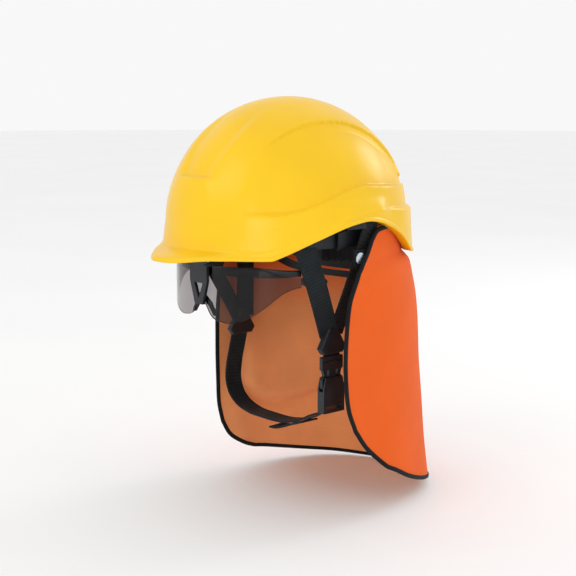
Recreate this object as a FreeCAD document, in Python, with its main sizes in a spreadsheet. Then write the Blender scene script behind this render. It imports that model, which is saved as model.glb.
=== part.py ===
"""Forestry helmet with a retractable visor, a four-point chin strap and a neck curtain.

Frame: millimetres, +X to the wearer's left, -Y to the front, +Z up. The origin is the centre of
the head opening, level with the lower edge of the brim.
"""

import FreeCAD
import Part
import Sketcher
import math
import os
from FreeCAD import Matrix, Placement, Rotation
from FreeCAD import Vector as V

SIZES = {
    # shell
    "shell_width": 202,
    "shell_length": 246,
    "shell_height": 143,
    "spring_height": 30,
    "shell_wall": 3,
    "skirt_flare": 0.1,
    "lip_half_width": 107,
    "lip_half_length": 131,
    "lip": 4,
    "peak_reach": 151,
    "peak_power": 1.55,
    "arch_height": 31,
    "arch_place": 10,
    "nape_drop": 13,
    "shoulder_step": 2,
    "nape_step": 6,
    "nape_belt_top": 37,
    "slot_width": 32,
    "slot_gap": 4.6,
    "slot_depth": 15,
    "slot_place": 10,
    "slot_cover": 7,
    # cradle and headband
    "cradle_half_width": 92,
    "cradle_half_length": 112,
    "cradle_height": 108,
    "cradle_spring": 28,
    "webbing_width": 20,
    "webbing": 1.6,
    "clip_width": 24,
    "clip_height": 10,
    "side_clip_top": 34,
    "front_clip_top": 64,
    "crown_pad_radius": 26,
    "crown_pad_thickness": 5,
    "band_half_width": 78,
    "band_half_length": 96,
    "band_centre": 4,
    "band_wall": 2,
    "band_low": 5,
    "band_high": 35,
    "band_end": 38,
    "sweatband": 5,
    # nape cradle and size ratchet
    "nape_half_width": 81.5,
    "nape_half_length": 60,
    "nape_centre": 40,
    "nape_front": -8,
    "nape_wall": 2,
    "nape_band_low": -33,
    "nape_band_high": -6,
    "nape_pad": 4,
    "housing_half": 34,
    "housing_depth": 9,
    "knob_radius": 16,
    "knob_depth": 6,
    "knob_height": -19.5,
    "pinion_pitch": 6,
    "tooth_count": 12,
    "rack_thickness": 2,
    "rack_length": 40,
    "rack_shift": 12,
    # visor
    "lens_half_width": 80,
    "lens_depth": 54,
    "lens_centre": -51,
    "lens_wall": 1.8,
    "lens_top": -8,
    "lens_low": -58,
    "bridge_low": -42,
    "frame_wall": 2.4,
    "nose_pad_wall": 3,
    "nose_pad_depth": 4.5,
    "plate_half": 13,
    "plate_wall": 3,
    "plate_front": -108.2,
    "plate_top": -9,
    "plate_low": -46,
    "shoe_height": 11,
    "shoe_low": -1,
    "rail_top": 60,
    "rail_low": -1,
    "mount_low": 6,
    "mount_high": 36,
    "mount_height": 9,
    "pin_radius": 1,
    "pin_height": -5,
    "pin_place": -106.7,
    "barrel_half": 9,
    # chin strap
    "divider_width": 32,
    "divider_height": 25,
    "divider_wall": 7,
    "divider_place": 74,
    "divider_y": -9,
    "divider_z": -82,
    "far_divider_place": 72,
    "far_divider_y": -2,
    "far_divider_z": -87,
    "buckle_width": 26,
    "buckle_wall": 9,
    "plug_top": -97,
    "plug_base": 13,
    "buckle_gap": 7,
    "socket_length": 34,
    "socket_wall": 1.7,
    # neck curtain
    "cloth": 1.2,
    "binding": 2.6,
    "binding_width": 5,
    "snap_radius": 5.5,
}
REACH = 400  # larger than the whole object, for cutting solids

doc = FreeCAD.newDocument("helmet")
sheet = doc.addObject("Spreadsheet::Sheet", "Sizes")
for row, (word, value) in enumerate(SIZES.items(), start=1):
    sheet.set(f"A{row}", word)
    sheet.set(f"B{row}", str(value))
    sheet.setAlias(f"B{row}", word)
doc.recompute()
sub_parts = []


# ---------------------------------------------------------------- document helpers
def size(word):
    """A driving dimension from the spreadsheet."""
    return float(sheet.get(word))


def worked_out(expression):
    """The number that an expression over the sheet gives, in mm."""
    found = sheet.evalExpression(expression)
    return float(getattr(found, "Value", found))


def keep(thing, label):
    """Names a finished sub-part and lists it for export."""
    thing.Label = label
    sub_parts.append(thing)
    return thing


def feature(label, shape):
    """A sub-part whose shape comes from Part's own functions."""
    thing = doc.addObject("Part::Feature", label)
    thing.Shape = shape
    return keep(thing, label)


def box(name, length, width, height, corner):
    """A Part::Box bound to the sheet; corner gives its lowest corner as three expressions."""
    thing = doc.addObject("Part::Box", name)
    thing.setExpression("Length", length)
    thing.setExpression("Width", width)
    thing.setExpression("Height", height)
    for axis, expression in zip("xyz", corner):
        thing.setExpression(f"Placement.Base.{axis}", expression)
    return thing


def cylinder(name, radius, height, base, axis):
    """A Part::Cylinder bound to the sheet, standing on base and pointing along axis."""
    thing = doc.addObject("Part::Cylinder", name)
    thing.setExpression("Radius", radius)
    thing.setExpression("Height", height)
    thing.Placement.Rotation = Rotation(V(0, 0, 1), axis)
    for letter, expression in zip("xyz", base):
        thing.setExpression(f"Placement.Base.{letter}", expression)
    return thing


def cut_away(label, base, tool):
    """One document object with another taken out of it."""
    thing = doc.addObject("Part::Cut", label)
    thing.Base = base
    thing.Tool = tool
    return thing


def body(label):
    """A new PartDesign body, listed for export."""
    return keep(doc.addObject("PartDesign::Body", label), label)


def outline(owner, plane, points, lift=None):
    """A closed sketch on one of the body's own origin planes, each corner bound to the sheet.

    points are pairs of expressions along the sketch's two directions.
    """
    sketch = owner.newObject("Sketcher::SketchObject", f"{owner.Name}_outline")
    face = next(f for f in owner.Origin.OriginFeatures if f.Role == plane)
    sketch.AttachmentSupport = (face, "")
    sketch.MapMode = "FlatFace"
    if lift:
        sketch.setExpression("AttachmentOffset.Base.z", lift)
    spots = [V(worked_out(u), worked_out(v), 0) for u, v in points]
    for number, spot in enumerate(spots):
        sketch.addGeometry(Part.LineSegment(spot, spots[(number + 1) % len(spots)]))
    for number, (u, v) in enumerate(points):
        follower = (number - 1) % len(points)
        sketch.addConstraint(Sketcher.Constraint("Coincident", follower, 2, number, 1))
        across = sketch.addConstraint(Sketcher.Constraint("DistanceX", number, 1, spots[number].x))
        sketch.setExpression(f"Constraints[{across}]", u)
        up = sketch.addConstraint(Sketcher.Constraint("DistanceY", number, 1, spots[number].y))
        sketch.setExpression(f"Constraints[{up}]", v)
    return sketch


def rectangle(half_u, half_v, centre_u="0", centre_v="0"):
    """The corners of a rectangle, as expressions."""
    return [
        (f"{centre_u} - ({half_u})", f"{centre_v} - ({half_v})"),
        (f"{centre_u} + ({half_u})", f"{centre_v} - ({half_v})"),
        (f"{centre_u} + ({half_u})", f"{centre_v} + ({half_v})"),
        (f"{centre_u} - ({half_u})", f"{centre_v} + ({half_v})"),
    ]


def pad(owner, sketch, length, both_ways=True):
    """Gives the sketch a thickness, half to each side unless both_ways is off."""
    thing = owner.newObject("PartDesign::Pad", f"{owner.Name}_pad")
    thing.Profile = sketch
    thing.Midplane = both_ways
    thing.setExpression("Length", length)
    doc.recompute()
    return thing


def pocket(owner, sketch, both_ways=True):
    """Cuts the sketch through the whole body and checks that something was cut."""
    before = owner.Shape.Volume
    thing = owner.newObject("PartDesign::Pocket", f"{owner.Name}_pocket")
    thing.Profile = sketch
    thing.Midplane = both_ways
    thing.Type = "Length"
    thing.Length = REACH
    doc.recompute()
    if owner.Shape.Volume > before - 1:
        raise RuntimeError(f"{owner.Label}: the pocket cuts nothing")
    return thing


def soften(owner, radius, wanted):
    """Rounds the edges of the body's tip that wanted picks, by their direction or place."""
    tip = owner.Tip
    names = [f"Edge{n}" for n, edge in enumerate(tip.Shape.Edges, start=1) if wanted(edge)]
    thing = owner.newObject("PartDesign::Fillet", f"{owner.Name}_fillet")
    thing.Base = (tip, names)
    thing.Radius = radius
    doc.recompute()
    return thing


def runs_along(axis):
    """Picks straight edges that run along an axis."""
    def wanted(edge):
        straight = edge.Curve.TypeId == "Part::GeomLine"
        return straight and abs(edge.tangentAt(edge.FirstParameter).dot(axis)) > 0.99

    return wanted


# ---------------------------------------------------------------- shape helpers
def stretched(shape, across, along, up):
    """The shape scaled by different amounts along X, Y and Z."""
    scale = Matrix()
    scale.scale(V(across, along, up))
    return shape.transformGeometry(scale)


def dome(grow, bottom=-60):
    """The shell's round form, grown by some mm, solid down to bottom: a half egg on a flared skirt."""
    half_x = size("shell_width") / 2 + grow
    half_y = size("shell_length") / 2 + grow
    spring = size("spring_height")
    rise = size("shell_height") - spring + grow
    ball = Part.makeSphere(1, V(0, 0, 0), V(0, 0, 1), 0, 90, 360)
    crown = stretched(ball, half_x, half_y, rise).translated(V(0, 0, spring))
    depth = spring - bottom
    skirt = Part.makeCone(half_x + size("skirt_flare") * depth, half_x, depth, V(0, 0, bottom))
    return crown.fuse(stretched(skirt, 1, half_y / half_x, 1))


def oval_wire(half_x, half_y, centre_y, z):
    """A level ellipse."""
    centre = V(0, centre_y, z)
    ends = [V(half_x, 0, 0), V(0, half_y, 0)]
    if half_y >= half_x:
        ends.reverse()
    return Part.Wire(Part.Ellipse(centre + ends[0], centre + ends[1], centre).toShape())


def oval_post(half_x, half_y, centre_y, bottom=-REACH, top=REACH):
    """An upright solid with an elliptical plan."""
    face = Part.Face(oval_wire(half_x, half_y, centre_y, bottom))
    return face.extrude(V(0, 0, top - bottom))


def slab(low, high):
    """A box from its lowest to its highest corner."""
    low, high = V(*low), V(*high)
    gap = high - low
    return Part.makeBox(gap.x, gap.y, gap.z, low)


def turned_slab(low, high, degrees):
    """A box turned about the Z axis."""
    return slab(low, high).rotated(V(0, 0, 0), V(0, 0, 1), degrees)


def smooth_curve(spots):
    """A smooth curve through points."""
    curve = Part.BSplineCurve()
    curve.interpolate(spots)
    return curve


def side_curve(points):
    """A curve in the YZ plane through (y, z) points, straight if there are only two."""
    spots = [V(0, y, z) for y, z in points]
    if len(spots) == 2:
        return Part.makeLine(*spots)
    return smooth_curve(spots).toShape()


def shifted_line(points, inset):
    """The points of a side line moved sideways by inset, to the left of its direction."""
    curve = smooth_curve([V(0, y, z) for y, z in points])
    moved = []
    for y, z in points:
        along = curve.tangent(curve.parameter(V(0, y, z)))[0]
        moved.append((y - along.z * inset, z + along.y * inset))
    return moved


def beside(stretches, level):
    """The space between a side line and a level, right across the object.

    The line is one or more smooth stretches that meet at corners.
    """
    first, last = V(0, *stretches[0][0]), V(0, *stretches[-1][-1])
    edges = [side_curve(points) for points in stretches]
    edges.append(Part.makePolygon([last, V(0, last.y, level), V(0, first.y, level), first]))
    face = Part.Face(Part.Wire([edge for part in edges for edge in part.Edges]))
    return face.extrude(V(2 * REACH, 0, 0)).translated(V(-REACH, 0, 0))


def above(*stretches):
    """The space above a side line."""
    return beside(stretches, REACH)


def below(*stretches):
    """The space below a side line."""
    return beside(stretches, -REACH)


# ---------------------------------------------------------------- shell
def rim_line(lift=0):
    """The shell's lower edge from the side: level in front, then an arch over the ear and a low nape."""
    arch, top, drop = size("arch_place"), size("arch_height"), size("nape_drop")
    front = [(-170, lift), (-86, lift)]
    arched = [
        (-86, 0),
        (arch - 58, top - 14),
        (arch - 20, top - 2),
        (arch, top),
        (arch + 18, top - 3),
        (arch + 48, 15),
        (arch + 78, 5 - drop),
        (arch + 100, -drop),
        (170, -drop),
    ]
    return front, [(y, z + lift) for y, z in arched]


def shoulder_line():
    """The crease where the shell steps out above the rim."""
    top = size("arch_height")
    return [(-170, 40), (-100, 41), (-67, 42), (-19, 57), (6, 64), (33, 62), (66, 59), (160, top + 26)]


def peak_plan():
    """The front half of the brim seen from above: a blunt point that fades into the lip."""
    half_x, reach, power = size("lip_half_width"), size("peak_reach"), size("peak_power")
    spots = []
    for number in range(-9, 10):
        turn = number * math.pi / 18
        across = math.copysign(abs(math.sin(turn)) ** (2 / power), turn)
        spots.append(V(half_x * across, -reach * abs(math.cos(turn)) ** (2 / power), 0))
    curve = Part.BSplineCurve()
    curve.interpolate(spots)
    wire = Part.Wire([curve.toShape(), Part.makeLine(spots[-1], spots[0])])
    return Part.Face(wire).extrude(V(0, 0, 100)).translated(V(0, 0, -50))


def helmet_shell():
    """The outer shell: dome, shoulder, nape belt and brim, hollowed, with a slot above each ear."""
    shoulder = dome(size("shoulder_step")).common(below(shoulder_line()))
    belt_room = slab((-REACH, 62, -60), (REACH, REACH, size("nape_belt_top")))
    nape_belt = dome(size("nape_step")).common(belt_room)
    lip = oval_post(size("lip_half_width"), size("lip_half_length"), 0, -60, 80)
    brim = lip.fuse(peak_plan()).common(below(*rim_line(size("lip"))))
    outside = dome(0).fuse([shoulder, nape_belt, slot_covers(), brim]).common(above(*rim_line()))
    shell = outside.cut(dome(-size("shell_wall"), -120))
    half, place = size("slot_width") / 2, size("slot_place")
    for side in (-1, 1):
        inner = side * (size("shell_width") / 2 - 0.9)
        outer = inner + side * size("slot_gap")
        low = (min(inner, outer), place - half, 0)
        high = (max(inner, outer), place + half, size("arch_height") + size("slot_depth"))
        shell = shell.cut(slab(low, high))
    feature("helmet_shell", shell.removeSplitter())


def slot_covers():
    """The thicker stretch over each ear that leaves room for a pocket inside the shell's wall."""
    half_x, grow = size("shell_width") / 2, size("shoulder_step")
    low, high = size("arch_height") - 1, 64
    cone = Part.makeCone(half_x + size("slot_cover"), half_x + grow, high - low, V(0, 0, low))
    cone = stretched(cone, 1, size("shell_length") / size("shell_width"), 1)
    half, place = size("slot_width") / 2 + 12, size("slot_place") + 3
    room = slab((-REACH, place - half, low), (REACH, place + half, high))
    return cone.common(room).common(below(shoulder_line()))


# ---------------------------------------------------------------- cradle
STRAP_TURNS = {"front_left_to_rear_right": 35, "front_right_to_rear_left": -35, "side_to_side": 90}


def cradle_skin(layer):
    """A thin egg-shaped skin that cradle strap number layer is cut from."""
    thick = size("webbing") - 0.3
    half_x, half_y = size("cradle_half_width"), size("cradle_half_length")
    spring = size("cradle_spring")
    rise = size("cradle_height") - spring
    shift = layer * (thick + 0.2)
    ball = Part.makeSphere(1, V(0, 0, 0), V(0, 0, 1), 0, 90, 360)
    outer = stretched(ball, half_x - shift, half_y - shift, rise - shift)
    inner = stretched(ball, half_x - shift - thick, half_y - shift - thick, rise - shift - thick)
    return outer.cut(inner).translated(V(0, 0, spring))


def cradle_straps():
    """Three textile straps that cross at the crown; each ends on top of a clip at either side."""
    half = size("webbing_width") / 2
    side_top, front_top = size("side_clip_top"), size("front_clip_top")
    kept = slab((-REACH, -20, side_top), (REACH, REACH, REACH)).fuse(
        slab((-REACH, -REACH, front_top), (REACH, -20, REACH))
    )
    for layer, (name, turn) in enumerate(STRAP_TURNS.items()):
        strip = turned_slab((-half, -REACH, 0), (half, REACH, REACH), turn)
        feature(f"cradle_strap_{name}", cradle_skin(layer).common(strip).common(kept))


CLIPS = {
    # name: turn about Z, its top, whether it holds the headband
    "front_left": (35, "front_clip_top", True),
    "front_right": (-35, "front_clip_top", True),
    "side_left": (90, "side_clip_top", True),
    "side_right": (-90, "side_clip_top", True),
    "rear_left": (145, "side_clip_top", False),
    "rear_right": (-145, "side_clip_top", False),
}


def cradle_clips():
    """The blocks that plug into the shell's wall and hold a cradle strap and the headband."""
    half = size("clip_width") / 2
    room = dome(-size("shell_wall"))
    band = band_post(0)
    strap_seat = oval_post(size("cradle_half_width") - 10, size("cradle_half_length") - 10, 0)
    for name, (turn, top, holds_band) in CLIPS.items():
        low, high = size(top) - size("clip_height"), size(top)
        block = turned_slab((-half, -REACH, low), (half, 0, high), turn).common(room)
        feature(f"cradle_clip_{name}", block.cut(band if holds_band else strap_seat))


def crown_pad():
    """A soft disc under the crossing of the straps."""
    owner = body("crown_pad")
    sketch = owner.newObject("Sketcher::SketchObject", "crown_pad_outline")
    plane = next(f for f in owner.Origin.OriginFeatures if f.Role == "XY_Plane")
    sketch.AttachmentSupport = (plane, "")
    sketch.MapMode = "FlatFace"
    sketch.addGeometry(Part.Circle(V(0, 0, 0), V(0, 0, 1), size("crown_pad_radius")))
    sketch.addConstraint(Sketcher.Constraint("Coincident", 0, 3, -1, 1))
    radius = sketch.addConstraint(Sketcher.Constraint("Radius", 0, size("crown_pad_radius")))
    sketch.setExpression(f"Constraints[{radius}]", "Sizes.crown_pad_radius")
    pad(owner, sketch, "Sizes.crown_pad_thickness", both_ways=False)
    soften(owner, 1.8, lambda edge: True)
    owner.Placement.Base = V(0, 0, size("cradle_height") - size("crown_pad_thickness") - 8)


# ---------------------------------------------------------------- headband
def band_post(grow):
    """The headband's plan as a post, grown by some mm."""
    half_x, half_y = size("band_half_width") + grow, size("band_half_length") + grow
    return oval_post(half_x, half_y, size("band_centre"))


def headband():
    """An open plastic band round the forehead and temples, with two tabs up to the front clips."""
    wall = band_post(0).cut(band_post(-size("band_wall")))
    low, high = size("band_low"), size("band_high")
    kept = slab((-REACH, -REACH, low), (REACH, size("band_end"), high))
    for turn in (35, -35):
        kept = kept.fuse(turned_slab((-9, -REACH, low), (9, 0, size("front_clip_top")), turn))
    feature("headband", wall.common(kept).removeSplitter())


def sweatband():
    """A padded strip inside the front of the headband."""
    wall = size("band_wall")
    strip = band_post(-wall).cut(band_post(-wall - size("sweatband")))
    kept = slab((-REACH, -REACH, size("band_low") + 1), (REACH, -28, size("band_high") - 3))
    feature("sweatband", strip.common(kept))


def nape_post(grow):
    """The U-shaped plan of the nape cradle: straight arms and a rounded back."""
    half_x, half_y = size("nape_half_width") + grow, size("nape_half_length") + grow
    centre, front = size("nape_centre"), size("nape_front")
    arms = slab((-half_x, front, -REACH), (half_x, centre, REACH))
    rear_room = slab((-REACH, centre, -REACH), (REACH, REACH, REACH))
    back = oval_post(half_x, half_y, centre).common(rear_room)
    return arms.fuse(back)


def nape_cradle():
    """The rear half of the head ring: two arms beside the headband that dip to the nape."""
    low, high = size("nape_band_low"), size("nape_band_high")
    upper = [(-8, 19), (30, 19), (58, 8), (82, high), (110, high)]
    lower = [(-8, 3), (30, 3), (58, -16), (82, low), (110, low)]
    branch_top = [(40, -8), (62, -27), (84, low - 4), (110, low - 4)]
    branch_low = [(40, -18), (62, -36), (84, low - 11), (110, low - 11)]
    ring = nape_post(0).cut(nape_post(-size("nape_wall")))
    ring = ring.common(slab((-REACH, size("nape_front"), -REACH), (REACH, REACH, REACH)))
    band = ring.common(above(lower)).common(below(upper))
    branch = ring.common(above(branch_low)).common(below(branch_top))
    tab = ring.common(slab((-8, 80, low - 17), (8, REACH, low)))
    feature("nape_cradle", band.fuse([branch, tab]).removeSplitter())


def nape_pad():
    """A foam pad on the inside of the nape cradle."""
    wall = size("nape_wall")
    strip = nape_post(-wall).cut(nape_post(-wall - size("nape_pad")))
    low, high = size("nape_band_low") + 3, size("nape_band_high") - 3
    feature("nape_pad", strip.common(slab((-46, 60, low), (46, REACH, high))))


def nape_back():
    """How far back the nape cradle reaches."""
    return size("nape_centre") + size("nape_half_length")


def ratchet():
    """The size adjuster: a housing on the nape cradle, two toothed strips and a pinion."""
    back = nape_back()
    half, depth = size("housing_half"), size("housing_depth")
    axis_z, pitch = size("knob_height"), size("pinion_pitch")
    rack_front, rack = back + 2.4, size("rack_thickness")
    base = slab((-half, 80, axis_z - 13), (half, back + 2, axis_z + 13)).cut(nape_post(0))
    feature("ratchet_base", base)
    cover = slab((-half, back + 2, axis_z - 13), (half, back + depth, axis_z + 13))
    hollow = slab((-half + 2, back + 2, axis_z - 11), (half - 2, back + depth - 2, axis_z + 11))
    bore = Part.makeCylinder(4.05, 40, V(0, back, axis_z), V(0, 1, 0))
    cover = cover.cut(hollow).cut(bore)
    corners = [e for e in cover.Edges if runs_along(V(0, 1, 0))(e) and abs(e.Vertexes[0].X) > half - 1]
    feature("ratchet_cover", cover.makeFillet(5, corners))
    pinion = gear(pitch, int(size("tooth_count")), rack)
    pinion.rotate(V(0, 0, 0), V(1, 0, 0), -90)
    shaft = Part.makeCylinder(4, depth - 2.4 + 0.3, V(0, 0, 0), V(0, 1, 0))
    feature("ratchet_pinion", pinion.fuse(shaft).translated(V(0, rack_front, axis_z)).removeSplitter())
    for name, side in (("rack_upper", 1), ("rack_lower", -1)):
        strip = toothed_strip(size("rack_length"), pitch, rack, side)
        feature(name, strip.translated(V(size("rack_shift") * side, rack_front, axis_z)))


def gear(pitch, teeth, thick):
    """A pinion with straight-flanked teeth, its axis along Z."""
    module = 2 * pitch / teeth
    outer, root = pitch + 0.75 * module, pitch - module
    step = 2 * math.pi / teeth
    corners = []
    for number in range(teeth):
        middle = number * step
        for radius, angle in ((root, -0.34), (outer, -0.11), (outer, 0.11), (root, 0.34)):
            turn = middle + angle * step
            corners.append(V(radius * math.cos(turn), radius * math.sin(turn), 0))
    return Part.Face(Part.makePolygon(corners + corners[:1])).extrude(V(0, 0, thick))


def toothed_strip(length, pitch, thick, side):
    """A rack whose teeth point at the pinion; side is 1 above it and -1 below it."""
    module = 2 * pitch / size("tooth_count")
    gap = math.pi * module
    tip, root = pitch - 0.7 * module, pitch + module
    # Each tooth sits where the pinion shows a gap: half a tooth spacing from its vertical tooth.
    offset_to_gap = gap / 2 - size("rack_shift") % gap
    back = pitch + 3.5
    corners = [V(-length / 2, 0, back), V(length / 2, 0, back)]
    low_line = []
    count = int(length / gap) - 1
    for number in range(-(count // 2), count // 2 + 1):
        middle = number * gap + offset_to_gap
        for offset, level in ((-0.3, root), (-0.1, tip), (0.1, tip), (0.3, root)):
            low_line.append(V(middle + offset * gap, 0, level))
    corners += [V(length / 2, 0, root)] + low_line[::-1] + [V(-length / 2, 0, root)]
    strip = Part.Face(Part.makePolygon(corners + corners[:1])).extrude(V(0, thick, 0))
    return strip if side > 0 else strip.rotated(V(0, thick / 2, 0), V(0, 1, 0), 180)


def ratchet_knob():
    """A ribbed wheel outside the cover, turned by thumb and finger."""
    start = nape_back() + size("housing_depth") + 0.3
    radius, depth, axis_z = size("knob_radius"), size("knob_depth"), size("knob_height")
    wheel = Part.makeCylinder(radius, depth, V(0, start, axis_z), V(0, 1, 0))
    rim = [e for e in wheel.Edges if e.Curve.TypeId == "Part::GeomCircle" and e.CenterOfMass.y > start + 1]
    wheel = wheel.makeFillet(2, rim)
    ribs = 18
    for number in range(ribs):
        turn = 2 * math.pi * number / ribs
        spot = V((radius + 0.9) * math.cos(turn), start, axis_z + (radius + 0.9) * math.sin(turn))
        wheel = wheel.cut(Part.makeCylinder(1.7, depth, spot, V(0, 1, 0)))
    feature("ratchet_knob", wheel)


# ---------------------------------------------------------------- visor
def visor_rail():
    """A T-shaped bar inside the front of the shell that the visor's shoe runs on."""
    owner = body("visor_rail")
    face = size("plate_front") - 0.4
    half_bar = [(3.5, -4.6), (3.5, -1.4), (6, -1.4), (6, 0)]
    corners = [(f"{x}", f"{face} + {y}") for x, y in half_bar]
    corners += [(f"-{x}", f"{face} + {y}") for x, y in reversed(half_bar)]
    sketch = outline(owner, "XY_Plane", corners, "Sizes.rail_low")
    pad(owner, sketch, "Sizes.rail_top - Sizes.rail_low", both_ways=False)


def rail_mounts():
    """Two feet that join the rail to the shell's inner wall."""
    front = size("plate_front") - 5
    room = dome(-size("shell_wall"))
    tall, levels = size("mount_height"), (size("mount_low"), size("mount_high"))
    feet = [slab((-7, -REACH, z), (7, front, z + tall)).common(room) for z in levels]
    feature("rail_mounts", Part.makeCompound(feet))


def side_bore(owner, name):
    """The tilt pin's bore, right through a body."""
    bore = owner.newObject("Sketcher::SketchObject", name)
    side = next(f for f in owner.Origin.OriginFeatures if f.Role == "YZ_Plane")
    bore.AttachmentSupport = (side, "")
    bore.MapMode = "FlatFace"
    place, height, radius = size("pin_place"), size("pin_height"), size("pin_radius") + 0.06
    bore.addGeometry(Part.Circle(V(place, height, 0), V(0, 0, 1), radius))
    wanted = [
        (("Radius", 0, radius), "Sizes.pin_radius + 0.06"),
        (("DistanceX", 0, 3, place), "Sizes.pin_place"),
        (("DistanceY", 0, 3, height), "Sizes.pin_height"),
    ]
    for constraint, expression in wanted:
        number = bore.addConstraint(Sketcher.Constraint(*constraint))
        bore.setExpression(f"Constraints[{number}]", expression)
    pocket(owner, bore)


def visor_shoe():
    """The slotted shoe that grips the rail, with two lugs below it for the tilt pin."""
    owner = body("visor_shoe")
    front = size("plate_front")
    half_slot = [(13, 3), (13, 0), (9, 0), (9, -3.8), (3.8, -3.8), (3.8, -2.1), (6.3, -2.1), (6.3, -0.2)]
    corners = [(f"{x}", f"{front} + {y}") for x, y in half_slot]
    corners += [(f"-{x}", f"{front} + {y}") for x, y in reversed(half_slot)]
    pad(owner, outline(owner, "XY_Plane", corners, "Sizes.shoe_low"), "Sizes.shoe_height", both_ways=False)
    behind = f"{-front} - Sizes.plate_wall"
    for side in (-1, 1):
        inner, outer = sorted((side * (size("barrel_half") + 0.4), side * size("plate_half")))
        lug = [(f"{inner}", "-8"), (f"{outer}", "-8"), (f"{outer}", "0"), (f"{inner}", "0")]
        pad(owner, outline(owner, "XZ_Plane", lug, behind), "Sizes.plate_wall", both_ways=False)
    side_bore(owner, "shoe_bore")


def visor_bracket():
    """The tapering plate that carries the lens, with a V-shaped window and a hinge barrel on top."""
    owner = body("visor_bracket")
    behind = f"{-size('plate_front')} - Sizes.plate_wall"
    half = "Sizes.plate_half"
    shape = [
        ("-Sizes.barrel_half", "Sizes.pin_height + 1.4"),
        ("-Sizes.barrel_half", "Sizes.plate_top"),
        (f"-{half}", "Sizes.plate_top"),
        (f"-{half}", "-24"),
        ("-6", "Sizes.plate_low"),
        ("6", "Sizes.plate_low"),
        (half, "-24"),
        (half, "Sizes.plate_top"),
        ("Sizes.barrel_half", "Sizes.plate_top"),
        ("Sizes.barrel_half", "Sizes.pin_height + 1.4"),
    ]
    pad(owner, outline(owner, "XZ_Plane", shape, behind), "Sizes.plate_wall", both_ways=False)
    pocket(owner, outline(owner, "XZ_Plane", [("-6.5", "-26"), ("6.5", "-26"), ("0", "-41")]))
    side_bore(owner, "bracket_bore")


def lens_post(grow):
    """The front half of the lens's plan as a post, grown by some mm."""
    half_x, half_y, centre = size("lens_half_width"), size("lens_depth"), size("lens_centre")
    front_room = slab((-REACH, -REACH, -80), (REACH, centre + 1, 20))
    return oval_post(half_x + grow, half_y + grow, centre, -80, 20).common(front_room)


def lens_outline():
    """The front outline of the lens: two lobes, a nose notch and narrower temples."""
    top, low, notch = size("lens_top"), size("lens_low"), size("bridge_low")
    half = size("lens_half_width")
    lobe = [(7, notch - 5), (14, low + 3), (27, low), (44, low + 2), (62, low + 9), (half + 2, low + 25)]
    brow = [(half + 2, top - 5), (50, top), (0, top - 3), (-50, top), (-half - 2, top - 5)]
    lower = [V(-x, 0, z) for x, z in reversed(lobe)] + [V(0, 0, notch)]
    lower += [V(x, 0, z) for x, z in lobe]
    upper = [V(x, 0, z) for x, z in brow]
    curves = []
    for line in (lower, upper):
        curve = Part.BSplineCurve()
        curve.interpolate(line)
        curves.append(curve.toShape())
    ends = [Part.makeLine(lower[-1], upper[0]), Part.makeLine(upper[-1], lower[0])]
    face = Part.Face(Part.Wire([curves[0], ends[0], curves[1], ends[1]]))
    return face.extrude(V(0, -200, 0))


def visor():
    """The lens, the brow frame behind its top edge, the nose pad and the tilt pin."""
    window = lens_outline()
    wall = size("lens_wall")
    lens = lens_post(0).cut(lens_post(-wall))
    plate = doc.getObject("visor_bracket").Shape
    feature("visor_lens", lens.common(window).cut(plate))
    brow = lens_post(-wall).cut(lens_post(-wall - size("frame_wall"))).common(window)
    brow = brow.common(slab((-REACH, -REACH, size("lens_top") - 9), (REACH, REACH, REACH)))
    feature("visor_frame", brow)
    pin_half = "Sizes.plate_half + 0.5"
    pin_start = (f"-({pin_half})", "Sizes.pin_place", "Sizes.pin_height")
    keep(cylinder("tilt_pin", "Sizes.pin_radius", f"2 * ({pin_half})", pin_start, V(1, 0, 0)), "tilt_pin")
    notch = size("bridge_low")
    arch = [(-16, -14), (-9, -5), (0, 1), (9, -5), (16, -14)]
    path = [V(x, 0, notch + z) for x, z in arch]
    inner = [spot + V(0, 0, size("nose_pad_wall")) for spot in path]
    profile = Part.Face(Part.makePolygon(path + inner[::-1] + path[:1]))
    saddle = profile.extrude(V(0, size("nose_pad_depth"), 0))
    feature("nose_pad", saddle.translated(V(0, -103, 0)).cut(lens))


# ---------------------------------------------------------------- chin strap
def ribbon(name, start, end, outward):
    """A flat strap from start to end whose broad face looks outward."""
    along = (end - start).normalize()
    face = (outward - along * outward.dot(along)).normalize()
    across = face.cross(along)
    thing = doc.addObject("Part::Box", name)
    thing.Length = (end - start).Length
    thing.setExpression("Width", "Sizes.webbing_width")
    thing.setExpression("Height", "Sizes.webbing")
    corner = start - across * (size("webbing_width") / 2) - face * (size("webbing") / 2)
    thing.Placement = Placement(corner, Rotation(along, across, face, "ZXY"))
    return thing


def divider(name, centre):
    """The three-way piece under the ear where the front and rear straps meet the chin strap."""
    owner = body(f"strap_divider_{name}")
    half, tall = "Sizes.divider_width / 2", "Sizes.divider_height / 2"
    shape = [
        (f"-{half}", "-7"),
        (f"-{half} + 4", f"-({tall})"),
        (f"{half} - 4", f"-({tall})"),
        (half, "-7"),
        ("5", tall),
        ("-5", tall),
    ]
    pad(owner, outline(owner, "YZ_Plane", shape), "Sizes.divider_wall")
    soften(owner, 1.5, lambda edge: abs(edge.CenterOfMass.x) > 3)
    owner.Placement.Base = centre
    return owner


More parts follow.
